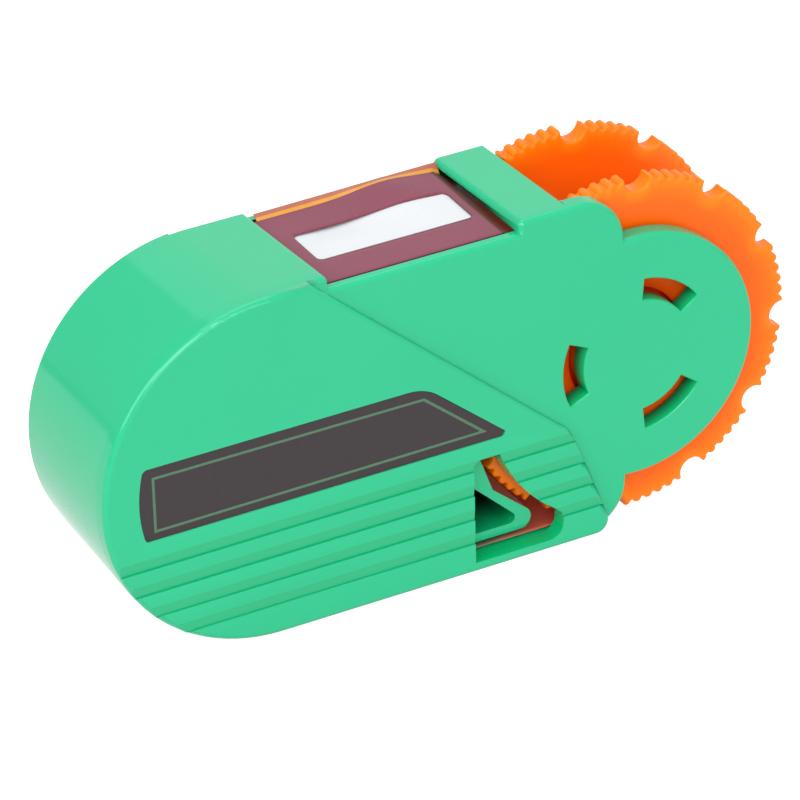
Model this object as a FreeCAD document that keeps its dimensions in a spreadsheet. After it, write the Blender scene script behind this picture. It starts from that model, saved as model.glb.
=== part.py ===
"""Reel-type cleaner for optical fibre connectors.

A flat moulded case with one round end holds a supply roll of white cloth. The cloth runs over a pad under
a window in the top, past a slotted amber film, and is wound up between two toothed thumb wheels that turn
on a post of the front cover's ear.

Lengths are millimetres. Each body's own origin is the dial axis on the ear's front plane: x to the dial's
side, y to the back, z up. The placed object stands on z = 0, centred in x and y.
"""
import FreeCAD
import Part
import math
import os
import Sketcher

Vector = FreeCAD.Vector
Rotation = FreeCAD.Rotation

DRIVING = {
    "dial_radius": 29.0,
    "foot_gap": 0.3,
    "round_centre": 64.0,
    "panel_step": 1.2,
    "cover_plate": 1.6,
    "wall": 1.8,
    "rear_wall": 2.4,
    "joint_gap": 0.1,
    "seat_gap": 0.02,
    "root_depth": 0.2,
    "edge_round": 0.9,
    "ear_inset": 7.9,
    "ear_plate": 3.0,
    "corner_reach": 10.0,
    "corner_radius": 7.9,
    "panel_corner": 2.3,
    "panel_bend": 6.0,
    "panel_foot_run": 1.7,
    "panel_foot_out": 4.05,
    "panel_foot_rise": 2.35,
    "panel_bend_out": 0.2,
    "panel_bend_low": 18.1,
    "panel_bend_in": 2.6,
    "panel_bend_high": 21.8,
    "diagonal_lead": 3.6,
    "rear_step_lead": 15.5,
    "rear_step_foot": 5.1,
    "window_left": 53.6,
    "window_right": 20.8,
    "bridge_right": 12.0,
    "lip_drop": 2.1,
    "window_round": 1.0,
    "slot_inner": 9.75,
    "slot_outer": 13.35,
    "slot_half_angle": 24.2,
    "wheel_play": 0.7,
    "wheel_plate": 3.2,
    "wheel_inset": 1.6,
    "first_tooth": 60.2,
    "tooth_pitch": 4.02,
    "tooth_round": 0.8,
    "tooth_depth": 0.6,
    "notch_round": 2.25,
    "dial_clearance": 0.6,
    "post_radius": 6.0,
    "post_bore": 3.6,
    "cap_radius": 8.2,
    "cap_flange": 0.85,
    "cap_plug": 6.0,
    "cap_bevel": 0.4,
    "running_gap": 0.1,
    "hub_radius": 9.0,
    "hub_inset": 0.2,
    "used_radius": 11.6,
    "roll_room": 9.95,
    "core_radius": 7.5,
    "core_overhang": 0.6,
    "spindle_radius": 5.0,
    "spindle_bore": 3.0,
    "spindle_seat": 8.0,
    "washer_gauge": 1.3,
    "cloth_width": 14.6,
    "front_cloth_gap": 0.7,
    "rear_cloth_gap": 1.1,
    "cloth_gauge": 0.2,
    "cloth_slack": 0.05,
    "roller_radius": 3.1,
    "roller_overhang": 0.4,
    "left_roller_reach": 3.2,
    "right_roller_reach": 3.8,
    "pin_radius": 1.2,
    "pin_seat": 2.4,
    "pad_height": 2.05,
    "pad_margin": 0.6,
    "platen_plate": 1.8,
    "platen_margin": 2.5,
    "platen_left_gap": 1.6,
    "platen_right_gap": 7.7,
    "ledge_width": 4.0,
    "film_gauge": 0.2,
    "film_seat": 0.05,
    "film_lift": 0.7,
    "film_margin": 0.5,
    "film_flap": 5.4,
    "film_reach": 0.3,
    "film_slot_left_gap": 3.4,
    "film_slot_right_gap": 3.2,
    "film_slot_front_gap": 0.9,
    "film_slot_back_gap": 4.0,
    "film_slot_round": 1.6,
    "nose_tip": 1.9,
    "nose_hollow": 1.0,
    "nose_setback": 0.4,
    "inner_floor": 1.5,
    "inner_floor_lift": 1.6,
    "label_left": 23.45,
    "label_top": 6.3,
    "label_right": 24.6,
    "label_corner": 1.0,
    "label_shoulder": 8.0,
    "label_slant_run": 11.2,
    "label_slant_rise": 2.2,
    "label_shoulder_run": 16.6,
    "label_recess": 0.5,
    "label_plate": 0.35,
    "groove_pitch": 4.3,
    "groove_height": 1.45,
    "groove_cut": 0.6,
    "first_groove": 11.2,
    "opening_lead": 1.2,
    "opening_top": 9.8,
    "opening_corner": 1.2,
    "opening_end": 2.6,
    "opening_bulge": 0.9,
    "opening_inset": 1.8,
    "boss_radius": 2.8,
    "boss_joint": 10.0,
    "boss_gap": 1.65,
    "boss_lift": 5.2,
    "screw_shank": 1.1,
    "screw_head": 2.4,
    "screw_seat": 1.6,
    "screw_reach": 2.4,
    "screw_gap": 0.1,
}

doc = FreeCAD.newDocument("connector_cleaner")
sheet = doc.addObject("Spreadsheet::Sheet", "Dims")
for row, (alias, value) in enumerate(DRIVING.items(), start=1):
    sheet.set(f"A{row}", alias)
    sheet.set(f"B{row}", str(value))
    sheet.setAlias(f"B{row}", alias)
doc.recompute()

D = "Dims."
HALF = f"({D}dial_radius + {D}foot_gap)"
TOP = HALF
FLOOR = f"-{HALF}"
INSIDE = f"({HALF} - {D}wall)"
AXIS_X = f"({HALF} + {D}round_centre - {D}dial_radius) / 2"
CLOTH_FRONT = f"({D}ear_plate + {D}wheel_play + {D}wheel_plate + {D}front_cloth_gap)"
CLOTH_BACK = f"({CLOTH_FRONT} + {D}cloth_width)"
WHEEL_FRONT = f"({D}ear_plate + {D}wheel_play)"
REAR_WHEEL = f"({CLOTH_BACK} + {D}rear_cloth_gap)"
WHEEL_BACK = f"({REAR_WHEEL} + {D}wheel_plate)"
BACK = f"({WHEEL_BACK} + {D}wheel_inset)"
REAR_WALL = f"({BACK} - {D}rear_wall)"
EAR_Y = f"({D}panel_step - {BACK}) / 2"
PANEL_FRONT = f"(-{D}panel_step)"
ROUND_X = f"(-{D}round_centre)"
EAR_RADIUS = f"({D}dial_radius - {D}ear_inset)"
EAR_ROOT = f"({D}corner_radius - {D}corner_reach)"
CORNER_Z = f"({HALF} - {D}corner_radius)"
CLEAR_RADIUS = f"({D}dial_radius + {D}dial_clearance)"
LIP = f"({HALF} - {D}lip_drop)"
FILM_HIGH = f"({LIP} - {D}film_seat)"
FILM_LEVEL = f"({FILM_HIGH} - {D}film_gauge)"
CLOTH_LEVEL = f"({FILM_LEVEL} - {D}film_lift)"
ROLLER_Z = f"({CLOTH_LEVEL} - {D}cloth_slack - {D}roller_radius)"
ROLLER_X = {
    "left": f"(-{D}window_left - {D}left_roller_reach)",
    "right": f"(-{D}window_right - {D}right_roller_reach)",
}
ROLLER_SEAT = f"({CLOTH_BACK} + {D}roller_overhang + {D}running_gap)"
PAD_LOW = f"({CLOTH_LEVEL} - {D}pad_height)"
PLATEN_LOW = f"({PAD_LOW} - {D}platen_plate)"
FRESH_RADIUS = f"({FILM_LEVEL} - {D}roll_room)"
CORE_BACK = f"({CLOTH_BACK} + {D}core_overhang)"
SPINDLE_SEAT = f"({CORE_BACK} + {D}running_gap + {D}washer_gauge)"
BOSS_RING = f"({FILM_LEVEL} - {D}boss_radius - {D}boss_gap)"
BOSS_TURN = "30 deg"
BOSSES = [
    (f"{ROUND_X} - {BOSS_RING} * cos({BOSS_TURN})", f"{BOSS_RING} * sin({BOSS_TURN})"),
    (f"{ROUND_X} - {BOSS_RING} * cos({BOSS_TURN})", f"-{BOSS_RING} * sin({BOSS_TURN})"),
    (f"-{CLEAR_RADIUS} - 3 * {D}boss_radius", f"{FLOOR} + {BOSS_RING} - {D}boss_lift"),
]
SCREW_HOLE = f"({D}screw_shank + {D}screw_gap)"
PLATEN_LEFT = f"({D}platen_left_gap - {D}window_left)"
PLATEN_RIGHT = f"(-{D}window_right - {D}platen_right_gap)"
SIDES = ("left", "right")
TEETH = 6
TOOTH_GROUPS = 12
GROOVE_COUNT = 4
SLOT_COUNT = 3
SLOT_TURN = 60
OPENING_TURN = 235.8
RIM_START = 202
RIM_END = 234
NOSE_WALL_START = 142.5
NOSE_WALL_ROOT = 145
NOSE_SHOULDER = 204.5
NOSE_HEEL = 209
NOSE_LEAN = "41 deg"
NOSE_BEND = "30 deg"
LEVEL_TOLERANCE = 1e-6

nodes = {}


def amount(expression):
    """The present value of an expression over the sheet's cells."""
    return float(sheet.evalExpression(expression))


def bind(feature, **properties):
    """Binds properties of a feature to expressions; a double underscore stands for a dot."""
    for name, expression in properties.items():
        feature.setExpression(name.replace("__", "."), expression)


def place(feature):
    """Puts a feature's own origin on the dial axis at the ear's front plane."""
    bind(feature, Placement__Base__x=AXIS_X, Placement__Base__y=EAR_Y, Placement__Base__z=HALF)


def new_body(label):
    """A body in the common frame; its label is the sub-part's name."""
    body = doc.addObject("PartDesign::Body", label)
    body.Label = label
    place(body)
    nodes[label] = body
    return body


def new_sketch(body, name, depth="0", plane="XZ_Plane"):
    """A sketch on one of the body's own planes; on XZ it lies at the given depth behind the ear plane."""
    sketch = body.newObject("Sketcher::SketchObject", f"{body.Name}_{name}")
    support = [item for item in body.Origin.OriginFeatures if item.Role == plane][0]
    sketch.AttachmentSupport = [(support, "")]
    sketch.MapMode = "FlatFace"
    bind(sketch, AttachmentOffset__Base__z=f"-({depth})" if plane == "XZ_Plane" else depth)
    return sketch


def constrain(sketch, kind, *where, value):
    """Adds one dimension to a sketch and binds it to an expression."""
    index = sketch.addConstraint(Sketcher.Constraint(kind, *where, amount(value)))
    sketch.setExpression(f"Constraints[{index}]", value)


def arc_between(start, end, radius, turn):
    """An arc from start to end; turn is 1 for anticlockwise and -1 for clockwise."""
    first, last = (start, end) if turn > 0 else (end, start)
    chord = last - first
    rise = math.sqrt(max(radius ** 2 - chord.Length ** 2 / 4, 0.0))
    normal = Vector(-chord.y, chord.x, 0).normalize()
    centre = (first + last) * 0.5 + normal * rise
    begin = math.atan2(first.y - centre.y, first.x - centre.x)
    finish = math.atan2(last.y - centre.y, last.x - centre.x)
    return Part.ArcOfCircle(Part.Circle(centre, Vector(0, 0, 1), radius), begin, finish)


def trace(sketch, corners):
    """A closed outline. Each corner is (x, z), or (x, z, radius, turn) when an arc leads to it."""
    points = [Vector(amount(corner[0]), amount(corner[1]), 0) for corner in corners]
    base = sketch.GeometryCount
    count = len(corners)
    ends = []
    for index, corner in enumerate(corners):
        start = points[index - 1]
        if len(corner) == 2:
            sketch.addGeometry(Part.LineSegment(start, points[index]), False)
            ends.append((1, 2))
            continue
        sketch.addGeometry(arc_between(start, points[index], amount(corner[2]), corner[3]), False)
        ends.append((1, 2) if corner[3] > 0 else (2, 1))
    for index, corner in enumerate(corners):
        edge = base + index
        after = (index + 1) % count
        sketch.addConstraint(
            Sketcher.Constraint("Coincident", edge, ends[index][1], base + after, ends[after][0]))
        constrain(sketch, "DistanceX", -1, 1, edge, ends[index][1], value=corner[0])
        constrain(sketch, "DistanceY", -1, 1, edge, ends[index][1], value=corner[1])
        if len(corner) == 4:
            constrain(sketch, "Radius", edge, value=corner[2])


def ring(sketch, x, z, *radii):
    """Concentric circles round (x, z)."""
    for radius in radii:
        centre = Vector(amount(x), amount(z), 0)
        circle = sketch.addGeometry(Part.Circle(centre, Vector(0, 0, 1), amount(radius)), False)
        constrain(sketch, "DistanceX", -1, 1, circle, 3, value=x)
        constrain(sketch, "DistanceY", -1, 1, circle, 3, value=z)
        constrain(sketch, "Radius", circle, value=radius)


def box_outline(sketch, left, right, low, high):
    """A rectangle with sides along x and z."""
    trace(sketch, [(left, low), (right, low), (right, high), (left, high)])


def feature(body, kind, sketch, length, backwards):
    """A pad or pocket of a sketch; backwards means towards the back of the object."""
    item = body.newObject(f"PartDesign::{kind}", f"{sketch.Name}_{kind.lower()}")
    item.Profile = sketch
    item.Reversed = backwards
    bind(item, Length=length)
    sketch.Visibility = False
    body.Tip = item
    return item


def pad(body, sketch, length, backwards=True):
    """Adds material over a sketch."""
    return feature(body, "Pad", sketch, length, backwards)


def pocket(body, sketch, length, backwards=True):
    """Cuts material under a sketch; a pocket's plain direction is already backwards on XZ."""
    return feature(body, "Pocket", sketch, length, not backwards)


def around(body, original, count):
    """Repeats a feature round the dial axis."""
    pattern = body.newObject("PartDesign::PolarPattern", f"{original.Name}_pattern")
    pattern.Originals = [original]
    pattern.Axis = (original.Profile[0], ["N_Axis"])
    pattern.Angle = 360.0
    pattern.Occurrences = count
    body.Tip = pattern
    return pattern


def round_edges(body, radius, chosen):
    """Rounds the edges of the body's tip that a test picks by their middle point."""
    doc.recompute()
    base = body.Tip
    names = []
    for number, edge in enumerate(base.Shape.Edges, start=1):
        middle = edge.valueAt((edge.FirstParameter + edge.LastParameter) / 2)
        if chosen(edge, middle):
            names.append(f"Edge{number}")
    rounding = body.newObject("PartDesign::Fillet", f"{body.Name}_round_{len(body.Group)}")
    rounding.Base = (base, names)
    bind(rounding, Radius=radius)
    body.Tip = rounding
    return rounding


def tube(label, x, z, front, back, outer, inner):
    """A plain tube along y."""
    walls = []
    for name, radius, reach in (("outside", outer, "0"), ("bore", inner, f"{D}wall")):
        rod = doc.addObject("Part::Cylinder", f"{label}_{name}")
        rod.Placement = FreeCAD.Placement(Vector(), Rotation(Vector(1, 0, 0), -90))
        bind(rod, Radius=radius, Height=f"({back}) - ({front}) + 2 * {reach}",
             Placement__Base__x=x, Placement__Base__y=f"({front}) - {reach}", Placement__Base__z=z)
        walls.append(rod)
    piece = doc.addObject("Part::Cut", label)
    piece.Base, piece.Tool = walls
    piece.Label = label
    place(piece)
    nodes[label] = piece
    return piece


def round_end(radius):
    """Corners that lead from the top of the round end over its left side to the bottom."""
    return [(f"{ROUND_X} - {radius}", "0", radius, 1), (ROUND_X, f"-{radius}", radius, 1)]


def on_circle(radius, degrees):
    """The point at an angle on a circle round the dial axis."""
    return f"{radius} * cos({degrees} * 1 deg)", f"{radius} * sin({degrees} * 1 deg)"


def right_end(left):
    """Corners from the floor round both corners beside the ear to the top."""
    return [
        (left, FLOOR), (f"-{D}corner_reach", FLOOR),
        (EAR_ROOT, f"-{CORNER_Z}", f"{D}corner_radius", 1), (EAR_ROOT, CORNER_Z),
        (f"-{D}corner_reach", TOP, f"{D}corner_radius", 1), (left, TOP)]


def window_notch():
    """Corners of the notch that opens the top between the bridge and the closed top."""
    return [
        (f"-{D}window_right", TOP), (f"-{D}window_right", LIP),
        (f"-{D}window_left", LIP), (f"-{D}window_left", TOP)]


def cover_outline():
    """Outline of the flat front plate, with the window's lip and the rounded corners beside the ear."""
    return [(ROUND_X, TOP), *round_end(TOP), *right_end("0")[1:-1], *window_notch()]


def panel_outline():
    """Outline of the raised panel: round end, floor, slanting right side and the long diagonal."""
    bend_x = f"-{D}bridge_right"
    return [
        (ROUND_X, TOP), *round_end(TOP), (f"{D}panel_foot_run - {D}corner_reach", FLOOR),
        (f"{D}panel_foot_out - {D}corner_reach", f"{FLOOR} + {D}panel_foot_rise", f"{D}panel_corner", 1),
        (f"{bend_x} + {D}panel_bend_out", f"{FLOOR} + {D}panel_bend_low"),
        (f"{bend_x} - {D}panel_bend_in", f"{FLOOR} + {D}panel_bend_high", f"{D}panel_bend", 1),
        (f"-{D}window_left - {D}diagonal_lead", TOP)]


def label_outline(inset):
    """Outline of the label's place: curved left end, flat top and bottom, slanting right end."""
    left = f"({D}label_left - {inset})"
    high = f"({D}label_top - {inset})"
    right = f"-{D}label_right - {inset}"
    corner = f"{D}label_corner"
    reach = f"sqrt({left} * {left} - {high} * {high})"
    return [
        (f"{ROUND_X} - {reach}", high), (f"{ROUND_X} - {reach}", f"-{high}", left, 1),
        (f"{right} - {corner}", f"-{high}"), (right, f"{corner} - {high}", corner, 1),
        (f"{right} - {D}label_slant_run", f"{high} - {D}label_slant_rise"),
        (f"{right} - {D}label_shoulder_run", high, f"{D}label_shoulder", 1)]


def opening_outline():
    """The lower opening: straight left side, right side following the dial, round lower right end."""
    arc = f"({D}dial_radius - {D}opening_inset)"
    left = f"-{D}dial_radius - {D}opening_lead"
    end = f"{D}opening_end"
    end_x, end_z = on_circle(arc, OPENING_TURN)
    right = f"{end_x} + {D}opening_bulge"
    return [
        (left, f"-{INSIDE}"), (f"{right} - {end}", f"-{INSIDE}"),
        (right, f"{end} - {INSIDE}", end, 1), (end_x, end_z, end, 1),
        (f"-sqrt({arc} * {arc} - {D}opening_top * {D}opening_top)", f"-{D}opening_top", arc, -1),
        (f"{left} + {D}opening_corner", f"-{D}opening_top"),
        (left, f"-{D}opening_top - {D}opening_corner", f"{D}opening_corner", 1)]


def lies_at(depth):
    """A test for edges that lie at one depth."""
    return lambda edge, middle: abs(middle.y - amount(depth)) < LEVEL_TOLERANCE


def runs_back(x, z, front, back):
    """A test for straight edges along y at a place in x and z, between two depths."""
    place_x, place_z, near, far = (amount(value) for value in (x, z, front, back))

    def chosen(edge, middle):
        return (edge.Curve.TypeId == "Part::GeomLine" and abs(edge.Curve.Direction.y) > 1 - LEVEL_TOLERANCE
                and abs(middle.x - place_x) < LEVEL_TOLERANCE and abs(middle.z - place_z) < LEVEL_TOLERANCE
                and near < middle.y < far)

    return chosen


def round_window(body):
    """Rounds the two upper corners beside the window."""
    for side in SIDES:
        round_edges(body, f"{D}window_round", runs_back(f"-{D}window_{side}", TOP, "0", BACK))


def round_label(body, inset, front, back):
    """Rounds the two corners at the curved end of the label's place."""
    corners = label_outline(inset)[:2]
    for corner in corners:
        round_edges(body, f"{D}label_corner - {inset}", runs_back(corner[0], corner[1], front, back))


def front_cover():
    """The front lid: flat plate with a raised panel, ear, arc slots, grip grooves and the dial's post."""
    body = new_body("front_cover")
    plate = new_sketch(body, "plate")
    trace(plate, cover_outline())
    pad(body, plate, f"{D}cover_plate")
    ear = new_sketch(body, "ear")
    ring(ear, "0", "0", EAR_RADIUS)
    pad(body, ear, f"{D}ear_plate")
    shoulder = new_sketch(body, "shoulder")
    trace(shoulder, right_end(f"{D}joint_gap - {D}bridge_right"))
    pad(body, shoulder, f"{D}ear_plate")
    round_window(body)
    round_edges(body, f"{D}edge_round", lies_at("0"))
    panel = new_sketch(body, "panel", f"{D}cover_plate")
    trace(panel, panel_outline())
    pad(body, panel, f"{D}cover_plate + {D}panel_step", backwards=False)
    round_edges(body, f"{D}edge_round", lies_at(PANEL_FRONT))
    cover_cuts(body)
    cover_inside(body)


def cover_cuts(body):
    """Arc slots of the ear, lower opening, label recess and grip grooves."""
    slot = new_sketch(body, "slot", PANEL_FRONT)
    low = f"({SLOT_TURN} - {D}slot_half_angle)"
    high = f"({SLOT_TURN} + {D}slot_half_angle)"
    trace(slot, [
        on_circle(f"{D}slot_outer", low), (*on_circle(f"{D}slot_outer", high), f"{D}slot_outer", 1),
        on_circle(f"{D}slot_inner", high), (*on_circle(f"{D}slot_inner", low), f"{D}slot_inner", -1)])
    around(body, pocket(body, slot, f"{D}panel_step + {D}ear_plate + {D}root_depth"), SLOT_COUNT)
    opening = new_sketch(body, "opening", PANEL_FRONT)
    trace(opening, opening_outline())
    pocket(body, opening, f"{D}panel_step + {D}cover_plate + {D}root_depth")
    recess = new_sketch(body, "label_recess", PANEL_FRONT)
    trace(recess, label_outline("0"))
    pocket(body, recess, f"{D}label_recess")
    round_label(body, "0", PANEL_FRONT, f"{PANEL_FRONT} + {D}label_recess")
    groove = new_sketch(body, "groove", f"{ROUND_X} - {HALF}", "YZ_Plane")
    foot = f"-{D}first_groove"
    head = f"{foot} + {D}groove_height"
    trace(groove, [
        (f"{PANEL_FRONT} - {D}root_depth", head), (f"{PANEL_FRONT} - {D}root_depth", foot),
        (f"{PANEL_FRONT} + {D}groove_cut", foot), (PANEL_FRONT, head)])
    cut = feature(body, "Pocket", groove, f"{D}round_centre + {HALF}", True)
    rows = body.newObject("PartDesign::LinearPattern", "front_cover_groove_rows")
    rows.Originals = [cut]
    rows.Direction = (groove, ["V_Axis"])
    rows.Reversed = True
    rows.Occurrences = GROOVE_COUNT
    bind(rows, Length=f"{D}groove_pitch * {GROOVE_COUNT - 1}")
    body.Tip = rows


def cover_inside(body):
    """The hollow post that the dial turns on, the opening's inner rim and the bosses of the case screws."""
    post = new_sketch(body, "post", f"{D}ear_plate - {D}root_depth")
    ring(post, "0", "0", f"{D}post_radius", f"{D}post_bore")
    pad(body, post, f"{WHEEL_BACK} - {D}hub_inset - {D}ear_plate")
    rim = new_sketch(body, "opening_rim", f"{D}cover_plate - {D}root_depth")
    outer = f"({D}dial_radius - {D}opening_inset)"
    inner = f"({outer} - {D}wall)"
    trace(rim, [
        on_circle(outer, RIM_START), (*on_circle(outer, RIM_END), outer, 1),
        on_circle(inner, RIM_END), (*on_circle(inner, RIM_START), inner, -1)])
    pad(body, rim, f"{D}ear_plate - {D}cover_plate + {D}root_depth")
    for number, (x, z) in enumerate(BOSSES):
        boss = new_sketch(body, f"boss_{number}", f"{D}cover_plate - {D}root_depth")
        ring(boss, x, z, f"{D}boss_radius", f"{D}screw_shank + {D}seat_gap")
        pad(body, boss, f"{D}boss_joint - {D}cover_plate + {D}root_depth")


def case_outline():
    """Outline of the case behind the cover, with its round end and the window's notch."""
    return [
        (ROUND_X, TOP), *round_end(TOP), (f"-{D}bridge_right", FLOOR), (f"-{D}bridge_right", TOP),
        *window_notch()]


def nose_outline():
    """The wall beside the dial, with a shallow bend, down to the hollow guide nose and the inner floor."""
    inner = CLEAR_RADIUS
    outer = f"({CLEAR_RADIUS} + {D}wall)"
    low = f"({FLOOR} + {D}wall + {D}inner_floor_lift)"
    high = f"({low} + {D}inner_floor)"
    floor_left = f"{ROUND_X} + {D}round_centre / 7"
    tip = f"({inner} + {D}nose_tip)"
    tip_z = f"({low} + {D}nose_tip)"
    tip_x = f"(-sqrt({tip} * {tip} - {tip_z} * {tip_z}))"
    touch_x = f"({tip_x} * {inner} / {tip})"
    touch_z = f"({tip_z} * {inner} / {tip})"
    half = f"tan({NOSE_BEND} / 2)"
    hollow_x = f"({tip_x} - {D}nose_hollow - {D}nose_tip / 2)"
    hollow_z = f"({high} + {D}nose_hollow)"
    return [
        (f"{touch_x} + {touch_z} * {half}", f"{touch_z} - {touch_x} * {half}"),
        (f"{touch_x} * cos({NOSE_BEND}) + {touch_z} * sin({NOSE_BEND})",
         f"{touch_z} * cos({NOSE_BEND}) - {touch_x} * sin({NOSE_BEND})"),
        (*on_circle(inner, NOSE_WALL_START), inner, -1), on_circle(outer, NOSE_WALL_ROOT),
        (*on_circle(outer, NOSE_SHOULDER), outer, 1), on_circle(f"({outer} + {D}inner_floor)", NOSE_HEEL),
        (f"{hollow_x} + {D}nose_hollow * cos({NOSE_LEAN})", f"{hollow_z} + {D}nose_hollow * sin({NOSE_LEAN})"),
        (hollow_x, high, f"{D}nose_hollow", -1), (floor_left, high), (floor_left, low), (tip_x, low),
        (touch_x, touch_z, f"{D}nose_tip", 1)]


def rear_case():
    """The deep rear shell with its bridge over the window's end, guide nose, spindle and supports."""
    body = new_body("rear_case")
    shell = new_sketch(body, "shell", f"{D}cover_plate")
    trace(shell, case_outline())
    pad(body, shell, f"{BACK} - {D}cover_plate")
    round_window(body)
    bay = new_sketch(body, "dial_bay", f"{D}cover_plate")
    ring(bay, "0", "0", CLEAR_RADIUS)
    pocket(body, bay, f"{BACK} - {D}cover_plate")
    step = new_sketch(body, "step", BACK)
    above = f"{TOP} + {D}wall"
    lead = f"-{D}window_left - {D}rear_step_lead"
    foot = f"-{D}rear_step_foot"
    trace(step, [(lead, above), (f"{D}dial_clearance - {CLEAR_RADIUS}", foot), ("0", foot), ("0", above)])
    pocket(body, step, f"{D}panel_step", backwards=False)
    round_edges(body, f"{D}edge_round", lies_at(BACK))
    cavity = new_sketch(body, "cavity", f"{D}cover_plate")
    trace(cavity, [(ROUND_X, INSIDE), *round_end(INSIDE), ("0", f"-{INSIDE}"), ("0", INSIDE)])
    pocket(body, cavity, f"{REAR_WALL} - {D}cover_plate")
    nose_front = f"({D}cover_plate + {D}nose_setback)"
    nose = new_sketch(body, "nose", nose_front)
    trace(nose, nose_outline())
    pad(body, nose, f"{REAR_WALL} - {nose_front} + {D}root_depth")
    supports(body)
    for number, (x, z) in enumerate(BOSSES):
        seat = new_sketch(body, f"screw_seat_{number}", BACK)
        ring(seat, x, z, f"{D}screw_head + {D}screw_gap")
        pocket(body, seat, f"{D}screw_seat", backwards=False)
        shank = new_sketch(body, f"screw_hole_{number}", BACK)
        ring(shank, x, z, SCREW_HOLE)
        pocket(body, shank, f"{BACK} - {D}boss_joint", backwards=False)


def supports(body):
    """Spindle of the supply roll, seats of the roller pins, ledges of the platen and screw bosses."""
    posts = [
        ("spindle", f"{D}cover_plate + {D}wall", (ROUND_X, "0", f"{D}spindle_radius", f"{D}spindle_bore")),
        ("spindle_seat", SPINDLE_SEAT, (ROUND_X, "0", f"{D}spindle_seat", f"{D}spindle_bore"))]
    for side in SIDES:
        posts.append((f"{side}_seat", ROLLER_SEAT, (
            ROLLER_X[side], ROLLER_Z, f"{D}pin_seat", f"{D}pin_radius + {D}seat_gap")))
    for number, (x, z) in enumerate(BOSSES):
        posts.append((f"boss_{number}", f"{D}boss_joint", (x, z, f"{D}boss_radius", SCREW_HOLE)))
    for name, front, circles in posts:
        sketch = new_sketch(body, name, front)
        ring(sketch, *circles)
        pad(body, sketch, f"{REAR_WALL} - ({front}) + {D}root_depth")
    ledge_front = f"({CLOTH_FRONT} - {D}platen_margin)"
    for side, left in (
            ("left", f"{PLATEN_LEFT} + {D}ledge_width / 2"), ("right", f"{PLATEN_RIGHT} - {D}ledge_width * 1.5")):
        ledge = new_sketch(body, f"{side}_ledge", ledge_front)
        box_outline(ledge, left, f"{left} + {D}ledge_width", f"{PLATEN_LOW} - {D}wall", PLATEN_LOW)
        pad(body, ledge, f"{REAR_WALL} - {ledge_front} + {D}root_depth")


def thumb_wheel(label, front):
    """A dial disc: groups of rounded teeth with a round notch between the groups."""
    body = new_body(label)
    disc = new_sketch(body, "disc", front)
    ring(disc, "0", "0", f"{D}dial_radius - {D}tooth_depth", f"{D}hub_radius + {D}seat_gap")
    pad(body, disc, f"{D}wheel_plate")
    teeth = new_sketch(body, "teeth", front)
    for number in range(TEETH):
        turn = f"({D}first_tooth + {number} * {D}tooth_pitch)"
        ring(teeth, *on_circle(f"({D}dial_radius - {D}tooth_round)", turn), f"{D}tooth_round")
    around(body, pad(body, teeth, f"{D}wheel_plate"), TOOTH_GROUPS)
    notch = new_sketch(body, "notch", front)
    turn = f"({D}first_tooth + ({TEETH - 1} * {D}tooth_pitch + {360 / TOOTH_GROUPS}) / 2)"
    ring(notch, *on_circle(f"{D}dial_radius", turn), f"{D}notch_round")
    around(body, pocket(body, notch, f"{D}wheel_plate"), TOOTH_GROUPS)


def axle_cap():
    """A turned cap whose plug sits in the post's bore and whose flange keeps the dial on."""
    body = new_body("axle_cap")
    profile = new_sketch(body, "profile", "0", "YZ_Plane")
    face = f"({WHEEL_BACK} - {D}hub_inset + {D}running_gap)"
    crown = f"({face} + {D}cap_flange)"
    plug = f"{D}post_bore - {D}seat_gap"
    trace(profile, [
        (f"{face} - {D}cap_plug", "0"), (crown, "0"), (crown, f"{D}cap_radius - {D}cap_bevel"),
        (f"{crown} - {D}cap_bevel", f"{D}cap_radius"), (face, f"{D}cap_radius"), (face, plug),
        (f"{face} - {D}cap_plug", plug)])
    turned = body.newObject("PartDesign::Revolution", "axle_cap_turned")
    turned.Profile = profile
    turned.ReferenceAxis = (profile, ["H_Axis"])
    turned.Angle = 360.0
    profile.Visibility = False
    body.Tip = turned


def strip(label, front, length, corners):
    """A piece whose outline is drawn from the front and runs straight to the back."""
    body = new_body(label)
    sketch = new_sketch(body, "run", front)
    trace(sketch, corners)
    pad(body, sketch, length)
    return body


def tangent(start, end):
    """Angle at which the upper common tangent of two circles touches both of them."""
    run = f"({end[0]} - {start[0]})"
    rise = f"({end[1]} - {start[1]})"
    apart = f"sqrt({run} * {run} + {rise} * {rise})"
    return f"(atan2({rise}; {run}) + acos(({start[2]} - {end[2]}) / {apart}))"


def polar(circle, angle, more="0"):
    """The point of a circle at an angle, moved outwards by some more."""
    reach = f"({circle[2]} + {more})"
    return f"{circle[0]} + {reach} * cos({angle})", f"{circle[1]} + {reach} * sin({angle})"


def cloth_web():
    """The cloth from the supply roll over both rollers to the take-up roll."""
    gauge = f"{D}cloth_gauge"
    outer = f"({LEFT[2]} + {gauge})"
    strip("cloth_web", CLOTH_FRONT, f"{D}cloth_width", [
        polar(FRESH, RISE), polar(LEFT, RISE), (*polar(LEFT, "90 deg"), LEFT[2], -1),
        polar(RIGHT, "90 deg"), (*polar(RIGHT, FALL), RIGHT[2], -1), polar(USED, FALL),
        polar(USED, FALL, gauge), polar(RIGHT, FALL, gauge),
        (*polar(RIGHT, "90 deg", gauge), outer, 1), polar(LEFT, "90 deg", gauge),
        (*polar(LEFT, RISE, gauge), outer, 1), polar(FRESH, RISE, gauge)])


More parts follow.
